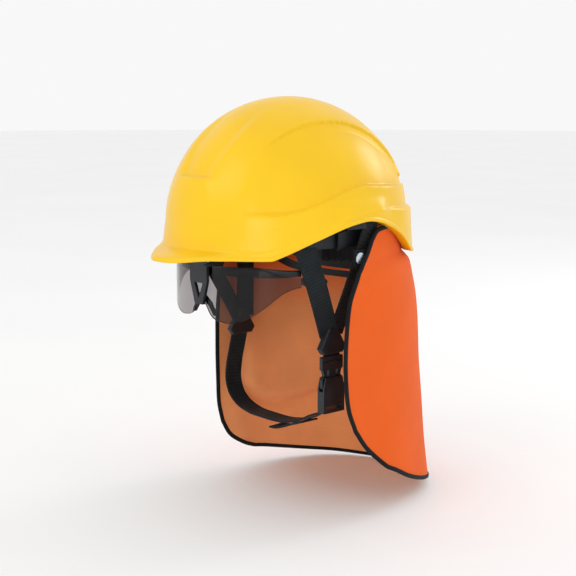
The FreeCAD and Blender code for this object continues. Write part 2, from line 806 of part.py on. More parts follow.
def side_straps(name, side, centre):
    """The front and rear straps on one side, with the anchors that clamp them to the shell."""
    fork = divider(name, centre)
    room = dome(-size("shell_wall"))
    doc.recompute()
    crossed = fork.Shape
    tops = (("front", V(side * 87, -49, 16), -3), ("rear", V(side * 93, 25, 34), 5))
    for word, top, step in tops:
        facing = V(side, 0.0062 * top.y, 0)
        blank = ribbon(f"{word}_strap_{name}_blank", top, centre + V(0, step, 0), facing)
        doc.recompute()
        strap = max(blank.Shape.cut(crossed).Solids, key=lambda solid: solid.Volume)
        feature(f"{word}_strap_{name}", strap)
        crossed = crossed.fuse(strap)
        near, far = sorted((side * (top.x * side - 3), side * 104))
        block = slab((near, top.y - 11, top.z - 5), (far, top.y + 11, top.z + 8)).common(room)
        feature(f"chin_anchor_{word}_{name}", block.cut(strap))


# Corners of the chin strap's path seen from the front, as (x, z, radius of the bend there).
CHIN_PATH = [(-72, -100, 0), (-74, -165, 22), (-44, -175, 60), (12, -173.5, 90), (56, -157, 0)]


def bent_path(corners, y):
    """Straight runs joined by tangent arcs, in a plane across the object."""
    spots = [V(x, y, z) for x, z, _ in corners]
    edges = []
    start = spots[0]
    for before, here, after, (_, _, radius) in zip(spots, spots[1:], spots[2:], corners[1:]):
        back, onward = (before - here).normalize(), (after - here).normalize()
        half = back.getAngle(onward) / 2
        reach = radius / math.tan(half)
        middle = here + (back + onward).normalize() * (radius / math.sin(half) - radius)
        edges.append(Part.makeLine(start, here + back * reach))
        edges.append(Part.Arc(here + back * reach, middle, here + onward * reach).toShape())
        start = here + onward * reach
    edges.append(Part.makeLine(start, spots[-1]))
    return Part.Wire(edges)


def chin_strap():
    """The webbing under the chin, from the right divider to the socket, and its folded end."""
    half, thick = size("webbing_width") / 2, size("webbing")
    middle = size("divider_y")
    inner = bent_path(CHIN_PATH, middle - half)
    outer = inner.makeOffset2D(thick, openResult=True)
    caps = [Part.makeLine(inner.OrderedVertexes[n].Point, outer.OrderedVertexes[n].Point) for n in (0, -1)]
    band = Part.Face(Part.Wire(Part.__sortEdges__(inner.Edges + outer.Edges + caps)))
    feature("chin_strap", band.extrude(V(0, 2 * half, 0)))
    end = V(CHIN_PATH[-1][0] + 1.5, middle, CHIN_PATH[-1][1] + 1.2)
    socket_low = size("plug_top") - size("plug_base") - size("buckle_gap") - size("socket_length")
    socket_foot = V(size("divider_place") - 2, middle, socket_low - 0.6)
    blank = ribbon("chin_strap_end_blank", end, socket_foot, V(0.3, 0, -1))
    keep(cut_away("chin_strap_end", blank, doc.getObject("buckle_socket")), "chin_strap_end")
    tail = ribbon("chin_strap_tail", V(26, middle, -170), V(-20, middle - 4, -184), V(0.3, 0, -1))
    keep(tail, "chin_strap_tail")
    corner = (
        "Sizes.divider_place - Sizes.webbing / 2",
        "Sizes.divider_y - Sizes.webbing_width / 2",
        "Sizes.plug_top",
    )
    tall = "Sizes.divider_z - Sizes.divider_height / 2 - Sizes.plug_top"
    keep(box("buckle_strap", "Sizes.webbing", "Sizes.webbing_width", tall, corner), "buckle_strap")


def strap_slot(owner, centre_v):
    """Cuts the slot that webbing is threaded through."""
    slot = rectangle("Sizes.webbing_width / 2 + 0.5", "1.6", "0", centre_v)
    pocket(owner, outline(owner, "YZ_Plane", slot))


def buckle_plug(centre, half, base):
    """The half that hangs from the left divider, with a guide tongue between its two prongs."""
    plug = body("buckle_plug")
    shape = [
        (f"-{half}", "0"),
        (f"-{half}", f"-{base}"),
        ("-4", f"-{base}"),
        ("-3", f"-{base} - Sizes.buckle_gap - 20"),
        ("3", f"-{base} - Sizes.buckle_gap - 20"),
        ("4", f"-{base}"),
        (half, f"-{base}"),
        (half, "0"),
    ]
    pad(plug, outline(plug, "YZ_Plane", shape), "4")
    strap_slot(plug, "-5")
    soften(plug, 1.2, runs_along(V(1, 0, 0)))
    plug.Placement.Base = centre


def buckle_prongs(centre, half, base):
    """The two springy prongs that are squeezed to let the socket go."""
    low = f"-{base}"
    for name, side in (("front", -1), ("rear", 1)):
        prong = body(f"buckle_prong_{name}")
        shape = [
            (f"{side * 7}", f"{low} - 0.3"),
            (f"{side} * ({half} - 1.5)", f"{low} - 0.3"),
            (f"{side} * ({half} - 3)", f"{low} - 5"),
            (f"{side} * ({half} - 0.4)", f"{low} - 9"),
            (f"{side} * ({half} - 0.6)", f"{low} - 17"),
            (f"{side} * ({half} - 6)", f"{low} - 23"),
            (f"{side} * ({half} - 7)", f"{low} - 20"),
            (f"{side} * ({half} - 4)", f"{low} - 14"),
            (f"{side} * ({half} - 6)", f"{low} - 4"),
            (f"{side * 7}", f"{low} - 3"),
        ]
        pad(prong, outline(prong, "YZ_Plane", shape if side > 0 else shape[::-1]), "3.6")
        prong.Placement.Base = centre


def buckle_socket(centre, half, base):
    """The half that carries the chin strap, hollow at the top and open at both sides."""
    socket = body("buckle_socket")
    top = f"-{base} - Sizes.buckle_gap"
    low = f"{top} - Sizes.socket_length"
    shape = [
        (f"-{half}", low),
        (half, low),
        (f"{half}", f"{top} - 11"),
        (f"{half} - 2.5", f"{top}"),
        (f"-{half} + 2.5", f"{top}"),
        (f"-{half}", f"{top} - 11"),
    ]
    pad(socket, outline(socket, "YZ_Plane", shape), "Sizes.buckle_wall")
    hollow = [
        (f"-{half} - 2", f"{top} + 2"),
        (f"-{half} - 2", f"{top} - 12"),
        (f"-{half} + 2.5", f"{top} - 14"),
        (f"-{half} + 2.5", f"{top} - 21"),
        (f"{half} - 2.5", f"{top} - 21"),
        (f"{half} - 2.5", f"{top} - 14"),
        (f"{half} + 2", f"{top} - 12"),
        (f"{half} + 2", f"{top} + 2"),
    ]
    cavity = socket.newObject("PartDesign::Pocket", "socket_cavity")
    cavity.Profile = outline(socket, "YZ_Plane", hollow)
    cavity.Midplane = True
    cavity.Length = size("buckle_wall") - 2 * size("socket_wall")
    doc.recompute()
    strap_slot(socket, f"{low} + 5")
    socket.Placement.Base = centre


def buckle():
    """A side-release buckle between the left divider and the chin strap."""
    centre = V(size("divider_place"), size("divider_y"), size("plug_top"))
    half, base = "Sizes.buckle_width / 2", "Sizes.plug_base"
    buckle_plug(centre, half, base)
    buckle_prongs(centre, half, base)
    buckle_socket(centre, half, base)


# ---------------------------------------------------------------- neck curtain
# Plan of the curtain's outer face at five heights: height, half width, where the straight sides
# end, and how far back the rounded rear reaches.
CURTAIN_PLANS = [
    (16, 97.5, 0, 119.5),
    (-14, 99, 0, 122.5),
    (-50, 99.5, 12, 137),
    (-130, 100, 28, 146),
    (-257, 104, 42, 165),
]
# The curtain's free edge seen from the side, from the top front corner down and back to the hem.
CURTAIN_EDGE = [
    (36, 26),
    (15, 0),
    (-4, -30),
    (-10, -85),
    (-10, -145),
    (-4, -180),
    (10, -204),
    (34, -221),
    (100, -243),
    (170, -257),
]
CURTAIN_TOP_EDGE = [(-40, 8), (0, 8), (33, 11), (44, 15), (170, 11)]


def curtain_solid(grow):
    """The space inside the curtain's outer face, grown by some mm."""
    wires = []
    for z, half, side_end, rear in CURTAIN_PLANS:
        half, depth = half + grow, rear - side_end + grow
        turns = [number * math.pi / 16 for number in range(17)]
        rounded = [V(half * math.cos(turn), side_end + depth * math.sin(turn), z) for turn in turns]
        sides = Part.makePolygon([rounded[-1], V(-half, -60, z), V(half, -60, z), rounded[0]])
        wires.append(Part.Wire([smooth_curve(rounded).toShape()] + sides.Edges))
    return Part.makeLoft(wires, True, True)


def curtain_plate(inset):
    """The curtain's outline from the side, drawn in from its free edges by inset."""
    edge = shifted_line(CURTAIN_EDGE, inset)
    start, end = V(0, *edge[0]), V(0, *edge[-1])
    behind = Part.makePolygon([end, V(0, 200, end.z), V(0, 200, 60), V(0, start.y, 60), start])
    face = Part.Face(Part.Wire([side_curve(edge)] + behind.Edges))
    return face.extrude(V(2 * REACH, 0, 0)).translated(V(-REACH, 0, 0))


def neck_curtain():
    """The cloth that hangs round the back and sides of the neck, and its bound edge."""
    cloth, thick = size("cloth"), size("binding")
    roof = below(CURTAIN_TOP_EDGE)
    whole, inside = curtain_plate(0), curtain_plate(size("binding_width"))
    sheet_form = curtain_solid(0).cut(curtain_solid(-cloth))
    tape_form = curtain_solid((thick - cloth) / 2).cut(curtain_solid(-(thick + cloth) / 2))
    feature("neck_curtain", sheet_form.common(inside).common(roof))
    feature("curtain_binding", tape_form.common(whole.cut(inside)).common(roof))


def curtain_fixings():
    """The hooks that hold the curtain inside the shell's rear, and its two snap fasteners."""
    room = dome(-size("shell_wall"))
    outer = curtain_solid(0.2)
    blocks = [turned_slab((-7, -REACH, 0), (7, 0, 9), turn).common(room) for turn in (150, 180, 210)]
    feature("curtain_hooks", Part.makeCompound([block.cut(outer) for block in blocks]))
    height, place, radius = "-4", "7", "Sizes.snap_radius"
    discs = (("cap", 94.4, 1.3, radius), ("stud", 91.2, 2.0, f"{radius} - 1"))
    for name, side in (("left", 1), ("right", -1)):
        near = min(side * 93.2, side * 94.4)
        tab = box(f"curtain_tab_{name}", "1.2", "18", "16", (f"{near}", "0", "-12"))
        keep(tab, f"curtain_tab_{name}")
        for word, start, length, wide in discs:
            base = (f"{side * start}", place, height)
            disc = cylinder(f"snap_{word}_{name}", wide, f"{length}", base, V(side, 0, 0))
            keep(disc, f"snap_{word}_{name}")


def write_steps():
    """Checks every object and writes each sub-part to its own file."""
    doc.recompute()
    for thing in doc.Objects:
        if {"Invalid", "Error"} & set(thing.State):
            raise RuntimeError(f"{thing.Label} failed: {thing.State}")
    os.makedirs("parts", exist_ok=True)
    for old in os.listdir("parts"):
        os.remove(os.path.join("parts", old))
    for thing in sub_parts:
        shape = thing.Shape
        if shape.isNull() or not shape.isValid() or not shape.Solids:
            raise RuntimeError(f"{thing.Label} has no valid solid")
        shape.exportStep(f"parts/{thing.Label}.step")
    print(len(sub_parts), "sub-parts")


helmet_shell()
cradle_straps()
cradle_clips()
crown_pad()
headband()
sweatband()
nape_cradle()
nape_pad()
ratchet()
ratchet_knob()
visor_rail()
rail_mounts()
visor_shoe()
visor_bracket()
visor()
side_straps("left", 1, V(size("divider_place"), size("divider_y"), size("divider_z")))
side_straps("right", -1, V(-size("far_divider_place"), size("far_divider_y"), size("far_divider_z")))
buckle()
chin_strap()
neck_curtain()
curtain_fixings()
write_steps()
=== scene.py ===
import math

import bmesh
import bpy
import numpy as np
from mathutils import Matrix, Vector


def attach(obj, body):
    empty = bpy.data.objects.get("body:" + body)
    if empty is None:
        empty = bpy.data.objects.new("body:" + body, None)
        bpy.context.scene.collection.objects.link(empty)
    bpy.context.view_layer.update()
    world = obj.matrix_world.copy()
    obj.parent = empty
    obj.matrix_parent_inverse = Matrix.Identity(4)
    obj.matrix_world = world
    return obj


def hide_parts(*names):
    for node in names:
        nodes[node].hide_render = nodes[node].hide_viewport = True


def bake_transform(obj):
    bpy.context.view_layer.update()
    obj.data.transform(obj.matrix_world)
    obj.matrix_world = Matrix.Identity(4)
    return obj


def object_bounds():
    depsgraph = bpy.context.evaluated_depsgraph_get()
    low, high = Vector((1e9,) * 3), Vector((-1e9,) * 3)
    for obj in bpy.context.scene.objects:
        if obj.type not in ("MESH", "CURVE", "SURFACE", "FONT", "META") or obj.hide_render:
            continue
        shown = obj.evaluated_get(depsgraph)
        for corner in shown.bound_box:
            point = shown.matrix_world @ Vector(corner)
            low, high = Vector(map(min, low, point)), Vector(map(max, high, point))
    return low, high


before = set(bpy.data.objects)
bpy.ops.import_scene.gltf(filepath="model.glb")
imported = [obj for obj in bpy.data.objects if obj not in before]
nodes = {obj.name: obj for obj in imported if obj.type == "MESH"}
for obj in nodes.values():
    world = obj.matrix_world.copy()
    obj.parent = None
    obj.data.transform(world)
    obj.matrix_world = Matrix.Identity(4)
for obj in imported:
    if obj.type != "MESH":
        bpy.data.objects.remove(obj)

cad_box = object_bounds()
MM = 0.001


# ---------------------------------------------------------------- small helpers
def step(low, high, value):
    """0 at low, 1 at high and smooth between them. Takes arrays, and low may be above high."""
    t = np.clip((np.asarray(value, float) - low) / (high - low), 0, 1)
    return t * t * (3 - 2 * t)


def smooth_line(knots, values):
    """A smooth function through a table, by cubic pieces."""
    xs, ys = np.array(knots, float), np.array(values, float)
    slopes = np.gradient(ys, xs)

    def at(x):
        x = np.clip(np.asarray(x, float), xs[0], xs[-1])
        n = np.clip(np.searchsorted(xs, x, side="right") - 1, 0, len(xs) - 2)
        gap = xs[n + 1] - xs[n]
        t = (x - xs[n]) / gap
        return (
            (2 * t**3 - 3 * t**2 + 1) * ys[n]
            + (t**3 - 2 * t**2 + t) * gap * slopes[n]
            + (3 * t**2 - 2 * t**3) * ys[n + 1]
            + (t**3 - t**2) * gap * slopes[n + 1]
        )

    return at


def unit(vectors):
    """Each row at length 1."""
    return vectors / np.linalg.norm(vectors, axis=-1)[..., None]


def length_along(line):
    """How far each point of a line lies from its start."""
    return np.concatenate([[0], np.cumsum(np.linalg.norm(np.diff(line, axis=0), axis=1))])


def smooth_path(points, count):
    """count points at equal steps along a smooth line through points of any dimension."""
    spots = np.array(points, float)
    along = length_along(spots)
    fine = np.linspace(0, along[-1], 12 * len(spots) + 200)
    line = np.stack([smooth_line(along, spots[:, n])(fine) for n in range(spots.shape[1])], axis=1)
    length = length_along(line)
    wanted = np.linspace(0, length[-1], count)
    return np.stack([np.interp(wanted, length, line[:, n]) for n in range(line.shape[1])], axis=1)


def grid_faces(rows, columns, round_columns=False, start=0):
    """Quads between a grid's points, numbered row by row."""
    faces = []
    for r in range(rows - 1):
        here, under = start + r * columns, start + (r + 1) * columns
        for c in range(columns if round_columns else columns - 1):
            beside = (c + 1) % columns
            faces.append((here + c, here + beside, under + beside, under + c))
    return faces


def piece(name, points, faces, body, material, smooth=True, uvs=None):
    """A mesh object from points in mm, that rides on a body."""
    mesh = bpy.data.meshes.new(name)
    mesh.from_pydata([tuple(p) for p in np.asarray(points) * MM], [], faces)
    if uvs is not None:
        layer = mesh.uv_layers.new(name="cloth_uv")
        for loop in mesh.loops:
            layer.data[loop.index].uv = uvs[loop.vertex_index]
    mesh.update()
    tidy = bmesh.new()
    tidy.from_mesh(mesh)
    bmesh.ops.recalc_face_normals(tidy, faces=tidy.faces)
    tidy.to_mesh(mesh)
    tidy.free()
    mesh.polygons.foreach_set("use_smooth", [smooth] * len(mesh.polygons))
    made = bpy.data.objects.new(name, mesh)
    bpy.context.scene.collection.objects.link(made)
    made.data.materials.append(material)
    if body:
        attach(made, body)
    return made


def add_bevel(thing, width, segments=2, angle=35):
    """Softens the hard edges of a moulded piece."""
    bevel = thing.modifiers.new("soft_edges", "BEVEL")
    bevel.width = width * MM
    bevel.segments = segments
    bevel.limit_method = "ANGLE"
    bevel.angle_limit = math.radians(angle)
    bevel.harden_normals = True


def apply_modifiers(thing):
    """Replaces the mesh with the shape that its modifiers give."""
    shown = thing.evaluated_get(bpy.context.evaluated_depsgraph_get())
    mesh = bpy.data.meshes.new_from_object(shown)
    thing.modifiers.clear()
    thing.data = mesh


# ---------------------------------------------------------------- materials
class Finish:
    """A procedural material, with its textures placed in the piece's own coordinates in metres."""

    def __init__(self, name, colour, roughness, **sockets):
        self.material = bpy.data.materials.new(name)
        self.material.use_nodes = True
        self.tree = self.material.node_tree
        self.shader = self.tree.nodes["Principled BSDF"]
        self.shader.inputs["Base Color"].default_value = (*colour, 1)
        self.shader.inputs["Roughness"].default_value = roughness
        for socket, value in sockets.items():
            self.shader.inputs[socket.replace("_", " ")].default_value = value
        self.colour = colour
        self.place = self.tree.nodes.new("ShaderNodeTexCoord")
        self.normal = None

    def link(self, start, end):
        self.tree.links.new(start, end)

    def noise(self, scale, detail=3, stretch=(1, 1, 1)):
        mapping = self.tree.nodes.new("ShaderNodeMapping")
        mapping.inputs["Scale"].default_value = stretch
        self.link(self.place.outputs["Object"], mapping.inputs["Vector"])
        made = self.tree.nodes.new("ShaderNodeTexNoise")
        made.inputs["Scale"].default_value = scale
        made.inputs["Detail"].default_value = detail
        self.link(mapping.outputs["Vector"], made.inputs["Vector"])
        return made.outputs["Fac"]

    def height(self, low, high):
        """From 0 to 1 between two heights in mm."""
        parts = self.tree.nodes.new("ShaderNodeSeparateXYZ")
        self.link(self.place.outputs["Object"], parts.inputs["Vector"])
        made = self.tree.nodes.new("ShaderNodeMapRange")
        made.inputs["From Min"].default_value = low * MM
        made.inputs["From Max"].default_value = high * MM
        self.link(parts.outputs["Z"], made.inputs["Value"])
        return made.outputs["Result"]

    def waves(self, scale, direction, turn=0, bend=0):
        """Even ridges across a direction of the piece's own flat layout."""
        mapping = self.tree.nodes.new("ShaderNodeMapping")
        mapping.inputs["Rotation"].default_value = (0, 0, math.radians(turn))
        self.link(self.place.outputs["UV"], mapping.inputs["Vector"])
        made = self.tree.nodes.new("ShaderNodeTexWave")
        made.bands_direction = direction
        made.inputs["Scale"].default_value = scale
        made.inputs["Distortion"].default_value = bend
        self.link(mapping.outputs["Vector"], made.inputs["Vector"])
        return made.outputs["Fac"]

    def ramp(self, source, stops):
        made = self.tree.nodes.new("ShaderNodeValToRGB")
        low, high = made.color_ramp.elements
        (low.position, low_colour), (high.position, high_colour) = stops
        low.color, high.color = (*low_colour, 1), (*high_colour, 1)
        self.link(source, made.inputs["Fac"])
        return made.outputs["Color"]

    def mix(self, factor, first, second, blend="MIX"):
        made = self.tree.nodes.new("ShaderNodeMix")
        made.data_type = "RGBA"
        made.blend_type = blend
        for value, socket in ((factor, 0), (first, 6), (second, 7)):
            if hasattr(value, "is_linked"):
                self.link(value, made.inputs[socket])
            else:
                made.inputs[socket].default_value = value
        return made.outputs[2]

    def shades(self, source, darker, lighter, low=0.3, high=0.7):
        """A colour between two shares of the base colour."""
        dark, light = ([c * share for c in self.colour] for share in (darker, lighter))
        return self.ramp(source, [(low, dark), (high, light)])

    def greys(self, source, low, high, dark):
        """A grey from a dark one to white, to multiply a colour with."""
        return self.ramp(source, [(low, (dark,) * 3), (high, (1, 1, 1))])

    def vary(self, source, darker, lighter, low=0.3, high=0.7):
        """The base colour changes between two shares of itself."""
        self.paint(self.shades(source, darker, lighter, low, high))

    def paint(self, colour):
        self.link(colour, self.shader.inputs["Base Color"])

    def rough(self, source, low, high):
        made = self.tree.nodes.new("ShaderNodeMapRange")
        made.inputs["To Min"].default_value = low
        made.inputs["To Max"].default_value = high
        self.link(source, made.inputs["Value"])
        self.link(made.outputs["Result"], self.shader.inputs["Roughness"])

    def bump(self, source, strength, height_mm):
        made = self.tree.nodes.new("ShaderNodeBump")
        made.inputs["Strength"].default_value = strength
        made.inputs["Distance"].default_value = height_mm * MM
        self.link(source, made.inputs["Height"])
        if self.normal:
            self.link(self.normal, made.inputs["Normal"])
        self.normal = made.outputs["Normal"]
        self.link(self.normal, self.shader.inputs["Normal"])


WAVE_PER_THREAD = 0.16  # scale of the wave texture that gives one ridge to each thread
LINING_SHADE_FADE = (-85, -35)  # the heights in mm between which the lining turns redder: painted shade, the deeper red of the shadowed upper lining


def shell_plastic():
    """Glossy moulded plastic: faint orange peel, handling scuffs and slightly uneven colour."""
    made = Finish("shell_yellow", (0.89, 0.54, 0.003), 0.3, Specular_IOR_Level=0.35)
    made.vary(made.noise(14, 2), 0.95, 1.03)
    made.rough(made.noise(60, 5, (1, 1, 2.5)), 0.25, 0.37)
    made.bump(made.noise(900, 2), 0.12, 0.05)
    made.bump(made.noise(240, 6, (1, 3, 1)), 0.05, 0.05)
    return made.material


def moulded(name, colour, roughness, grain=1400):
    """Spark-eroded plastic with a fine grain and a little dust in it."""
    made = Finish(name, colour, roughness, Specular_IOR_Level=0.35)
    made.vary(made.noise(55, 4), 0.75, 1.5)
    made.rough(made.noise(130, 4), roughness - 0.08, roughness + 0.12)
    made.bump(made.noise(grain, 3), 0.35, 0.08)
    return made.material


def rubber(name, colour):
    """Matt rubber with a soft grain."""
    made = Finish(name, colour, 0.7, Sheen_Weight=0.1)
    made.vary(made.noise(90, 4), 0.8, 1.3)
    made.bump(made.noise(900, 3), 0.3, 0.1)
    return made.material


def woven(name, colour, thread_mm, sheen, uneven, depth=0.12, shaded_top_colour=None):
    """Plain weave: two crossing sets of threads, laid out in the cloth's own plane, with painted
    shade in the gaps between them.
    """
    made = Finish(
        name, colour, 0.85, Specular_IOR_Level=0.2, Sheen_Weight=sheen, Sheen_Roughness=0.45
    )
    scale = 1 / (thread_mm * MM) * WAVE_PER_THREAD
    warp = made.waves(scale, "X", bend=0.4)
    weft = made.waves(scale, "Y", bend=0.4)
    threads = made.mix(0.5, warp, weft)
    cloudy = made.shades(made.noise(22, 3), *uneven)
    # painted shade: the upper part of the lining takes a deeper red, as where the shell shadows it
    if shaded_top_colour:
        cloudy = made.mix(made.height(*LINING_SHADE_FADE), cloudy, (*shaded_top_colour, 1))
    # painted shade: the gaps between the threads are darkened
    painted_gap_shade = made.greys(threads, 0.2, 0.8, 0.86)
    made.paint(made.mix(1.0, cloudy, painted_gap_shade, "MULTIPLY"))
    made.bump(threads, 0.35, depth)
    made.bump(made.noise(1800, 2), 0.15, 0.05)
    return made.material


def webbing(name, colour):
    """Ribbed strap: cross ribs with a diagonal twill in them and plain edges, with painted shade in
    the grooves between the ribs.
    """
    made = Finish(
        name, colour, 0.75, Specular_IOR_Level=0.25, Sheen_Weight=0.06, Sheen_Roughness=0.4
    )
    ribs = made.waves(88, "Y")
    twill = made.waves(150, "X", turn=45)
    both = made.mix(0.35, ribs, twill)
    cloudy = made.shades(made.noise(70, 4), 0.7, 1.5, 0.3, 0.72)
    # painted shade: the grooves between the ribs are darkened
    painted_gap_shade = made.greys(both, 0.15, 0.85, 0.45)
    made.paint(made.mix(1.0, cloudy, painted_gap_shade, "MULTIPLY"))
    made.bump(both, 0.8, 0.35)
    return made.material


def smoke_lens():
    """Tinted polycarbonate with a faint haze of fine scratches."""
    made = Finish("lens_smoke", (0.36, 0.33, 0.335), 0.01, Transmission_Weight=1.0, IOR=1.27)
    made.rough(made.noise(90, 3, (1, 6, 1)), 0.0, 0.02)
    made.vary(made.noise(12, 2), 0.93, 1.05)
    return made.material


def brushed(name, colour, roughness):
    """Metal with a fine level grain."""
    made = Finish(name, colour, roughness, Metallic=1.0)
    grain = made.noise(2600, 3, (1, 1, 12))
    made.rough(grain, roughness - 0.08, roughness + 0.14)
    made.vary(made.noise(300, 4), 0.85, 1.1)
    made.bump(grain, 0.15, 0.03)
    return made.material


SHELL = shell_plastic()
BLACK = moulded("plastic_black", (0.007, 0.009, 0.012), 0.42)
SATIN = moulded("plastic_satin", (0.009, 0.011, 0.015), 0.34, 1100)
GRIP = rubber("soft_rubber", (0.009, 0.010, 0.012))
STRAP = webbing("webbing_black", (0.0075, 0.0115, 0.0145))
TAPE = woven("binding_tape", (0.006, 0.008, 0.009), 0.7, 0.05, (0.7, 1.4))
OUTSIDE = woven("curtain_cloth", (0.86, 0.128, 0.014), 0.55, 0.04, (0.96, 1.03))
# the last colour is painted shade, the deeper red of the shadowed upper lining
INSIDE = woven(
    "curtain_lining", (0.95, 0.38, 0.145), 0.8, 0.12, (0.93, 1.06), 0.2, (0.85, 0.16, 0.035)
)
PADDING = woven("pad_foam", (0.012, 0.014, 0.017), 0.9, 0.2, (0.7, 1.5), 0.25)
LENS = smoke_lens()
METAL = brushed("snap_metal", (0.62, 0.70, 0.78), 0.3)

# ---------------------------------------------------------------- shell
# All sizes are in mm. The tables give heights in the side view against y.
HALF_X, HALF_Y, TOP, SPRING, WALL = 101.0, 122.6, 143.0, 30.0, 3.0
RISE = TOP - SPRING
SKIRT_FLARE = 0.1
LIP_X, LIP_Y = 107.0, 131.0
BRIM_END, BRIM_DROP = -86, 2.5  # the y where the brim ends, and how far its front sinks
NAPE_LIP = 3.5  # how much further the lip stands out at the rear
NEAR_POLE = 0.996  # the last row's share of the way up, short of a single point
FRONT_STEP, BELT_STEP = 72.4, 2.3  # the front ledge's height, and how far the belt stands out
PANEL_Y, PANEL_DEPTH, BEAD = (-100, 90), 2.6, 1.9  # the bead runs along the panel's upper edge
SCOOP_DEPTH = 2.8
COVER_REACH, COVER_PLACE = 105.8, 7  # the bulge over each slot: its distance in x, and its y
SLOT_X, SLOT_HALF, SLOT_Y, SLOT_Z = 102.2, 1.9, (-5, 19), (10, 38)
rim_arch = smooth_line(
    [-86, -48, -10, 10, 28, 58, 88, 110, 170],
    [0, 17, 29, 31, 28, 15, -5, -9, -9],
)
crease_line = smooth_line(
    [-170, -110, -86, -64, -40, -10, 14, 40, 70, 100, 130, 170],
    [10, 9, 9, 17, 29, 38, 41, 41, 39.5, 38, 37, 37],
)
shoulder_line = smooth_line(
    [-170, -101, -85, -67, -45, -19, 6, 33, 66, 100, 160],
    [41, 41, 41, 42, 48, 57, 63, 62, 59.5, 58, 57],
)


def rim_height(y):
    """The height of the rim: nearly level under the brim, then the arch over the ear."""
    return np.where(y < BRIM_END, -BRIM_DROP * step(-125, -152, y), rim_arch(y))


def dome_reach(dx, dy, z, grow=0.0):
    """How far the plain dome reaches from the Z axis in a direction, at a height."""
    flat = 1 / np.sqrt((dx / (HALF_X + grow)) ** 2 + (dy / (HALF_Y + grow)) ** 2)
    rise = np.clip((z - SPRING) / (RISE + grow), 0, 1)
    flare = 1 + SKIRT_FLARE * np.clip(SPRING - z, 0, None) / HALF_X
    return flat * np.sqrt(1 - rise**2) * flare


# the peak's edge, as the distance to the side and to the front
PEAK = smooth_path(
    [(0, 154), (8, 153), (17, 148.5), (30, 138), (46, 123.5), (60, 107.5), (72, 89), (82, 66)], 80
)
peak_reach = smooth_line(np.arctan2(PEAK[:, 0], PEAK[:, 1]), np.hypot(PEAK[:, 0], PEAK[:, 1]))


def lip_reach(dx, dy):
    """How far the lip of the rim reaches: an oval, and a blunt peak in front."""
    oval = 1 / np.sqrt((dx / LIP_X) ** 2 + (dy / LIP_Y) ** 2)
    turn = np.arctan2(np.abs(dx), -dy)
    return np.where(turn < math.pi / 4, np.maximum(oval, peak_reach(turn)), oval)


def lines_apart(y, z, line):
    """The distance in the side view from each point to a line of points."""
    nearest = np.full(np.shape(y), 1e9)
    for (y0, z0), (y1, z1) in zip(line[:-1], line[1:]):
        long = (y1 - y0) ** 2 + (z1 - z0) ** 2
        t = np.clip(((y - y0) * (y1 - y0) + (z - z0) * (z1 - z0)) / long, 0, 1)
        nearest = np.minimum(nearest, np.hypot(y - y0 - t * (y1 - y0), z - z0 - t * (z1 - z0)))
    return nearest


# the side panel's edge, as y and z
ARCH = smooth_path(
    [(-100, 40), (-99, 50), (-96, 66), (-85, 87), (-53, 110)]
    + [(-12, 120), (23, 117), (61, 99), (84, 76), (90, 58)],
    60,
)
arch_top = smooth_line(*ARCH[np.argsort(ARCH[:, 0])][::3].T)


def on_the_side(x):
    """0 near the mid-plane and 1 on the flanks, where the side panel is."""
    return step(34, 46, np.abs(x))


def panel_depth(x, y, z):
    """How deep the side panel lies inside its arch, from 0 to 1, with a long slope at its rear."""
    first, last = PANEL_Y
    inside = (z < arch_top(y)) & (y > first) & (y < last)
    edge = lines_apart(y, z, ARCH)
    ramp = smooth_line([-100, -60, 0, 30, 60], [20, 17, 9, 6, 6])(y)
    front = step(0, 1, edge / ramp)
    rear = np.clip((86 - y) / 38, 0, 1)
    return np.where(inside, np.minimum(front, step(0, 1, rear * 1.15)) * on_the_side(x), 0)


# the scoop's half width against the height
scoop_half = smooth_line([60, 72, 81, 94, 114, 133, 146], [21, 20, 20, 23, 25, 20, 6])


def scoop_depth(x, y, z):
    """How deep the channel in the front of the dome lies, from 0 to 1."""
    across = step(5.5, -5.5, np.abs(x) - scoop_half(z))
    along = step(70.8, 74.5, z) * step(141, 112, z) * (y < 0)
    return across * along


def skin_offset(x, y, z):
    """What the moulded form adds to the plain dome, in mm outward."""
    turn = np.degrees(np.arctan2(np.abs(x), -y))
    toward_side = step(29, 32, turn)
    ledge = 2.4 + 60 * step(20, 40, np.abs(x))
    front = step(FRONT_STEP + ledge * 0.3, FRONT_STEP - ledge, z) * (y < 0)
    belt = step(shoulder_line(y) + 1.3, shoulder_line(y) - 1.3, z)
    raised = BELT_STEP * (front * (1 - toward_side) + belt * toward_side)
    room = np.clip(COVER_REACH - np.abs(x) - raised, 0, None) * (np.abs(x) > 80)
    cover = room * step(36, 14, np.abs(y - COVER_PLACE)) * step(54, 37, z)
    near_arch = np.exp(-((lines_apart(y, z, ARCH) / 8) ** 2)) * (z > arch_top(y) - 1)
    bead = BEAD * near_arch * on_the_side(x) * step(-88, -45, y)
    above_belt = bead - PANEL_DEPTH * panel_depth(x, y, z)
    return raised + cover + above_belt * (1 - belt) - SCOOP_DEPTH * scoop_depth(x, y, z)


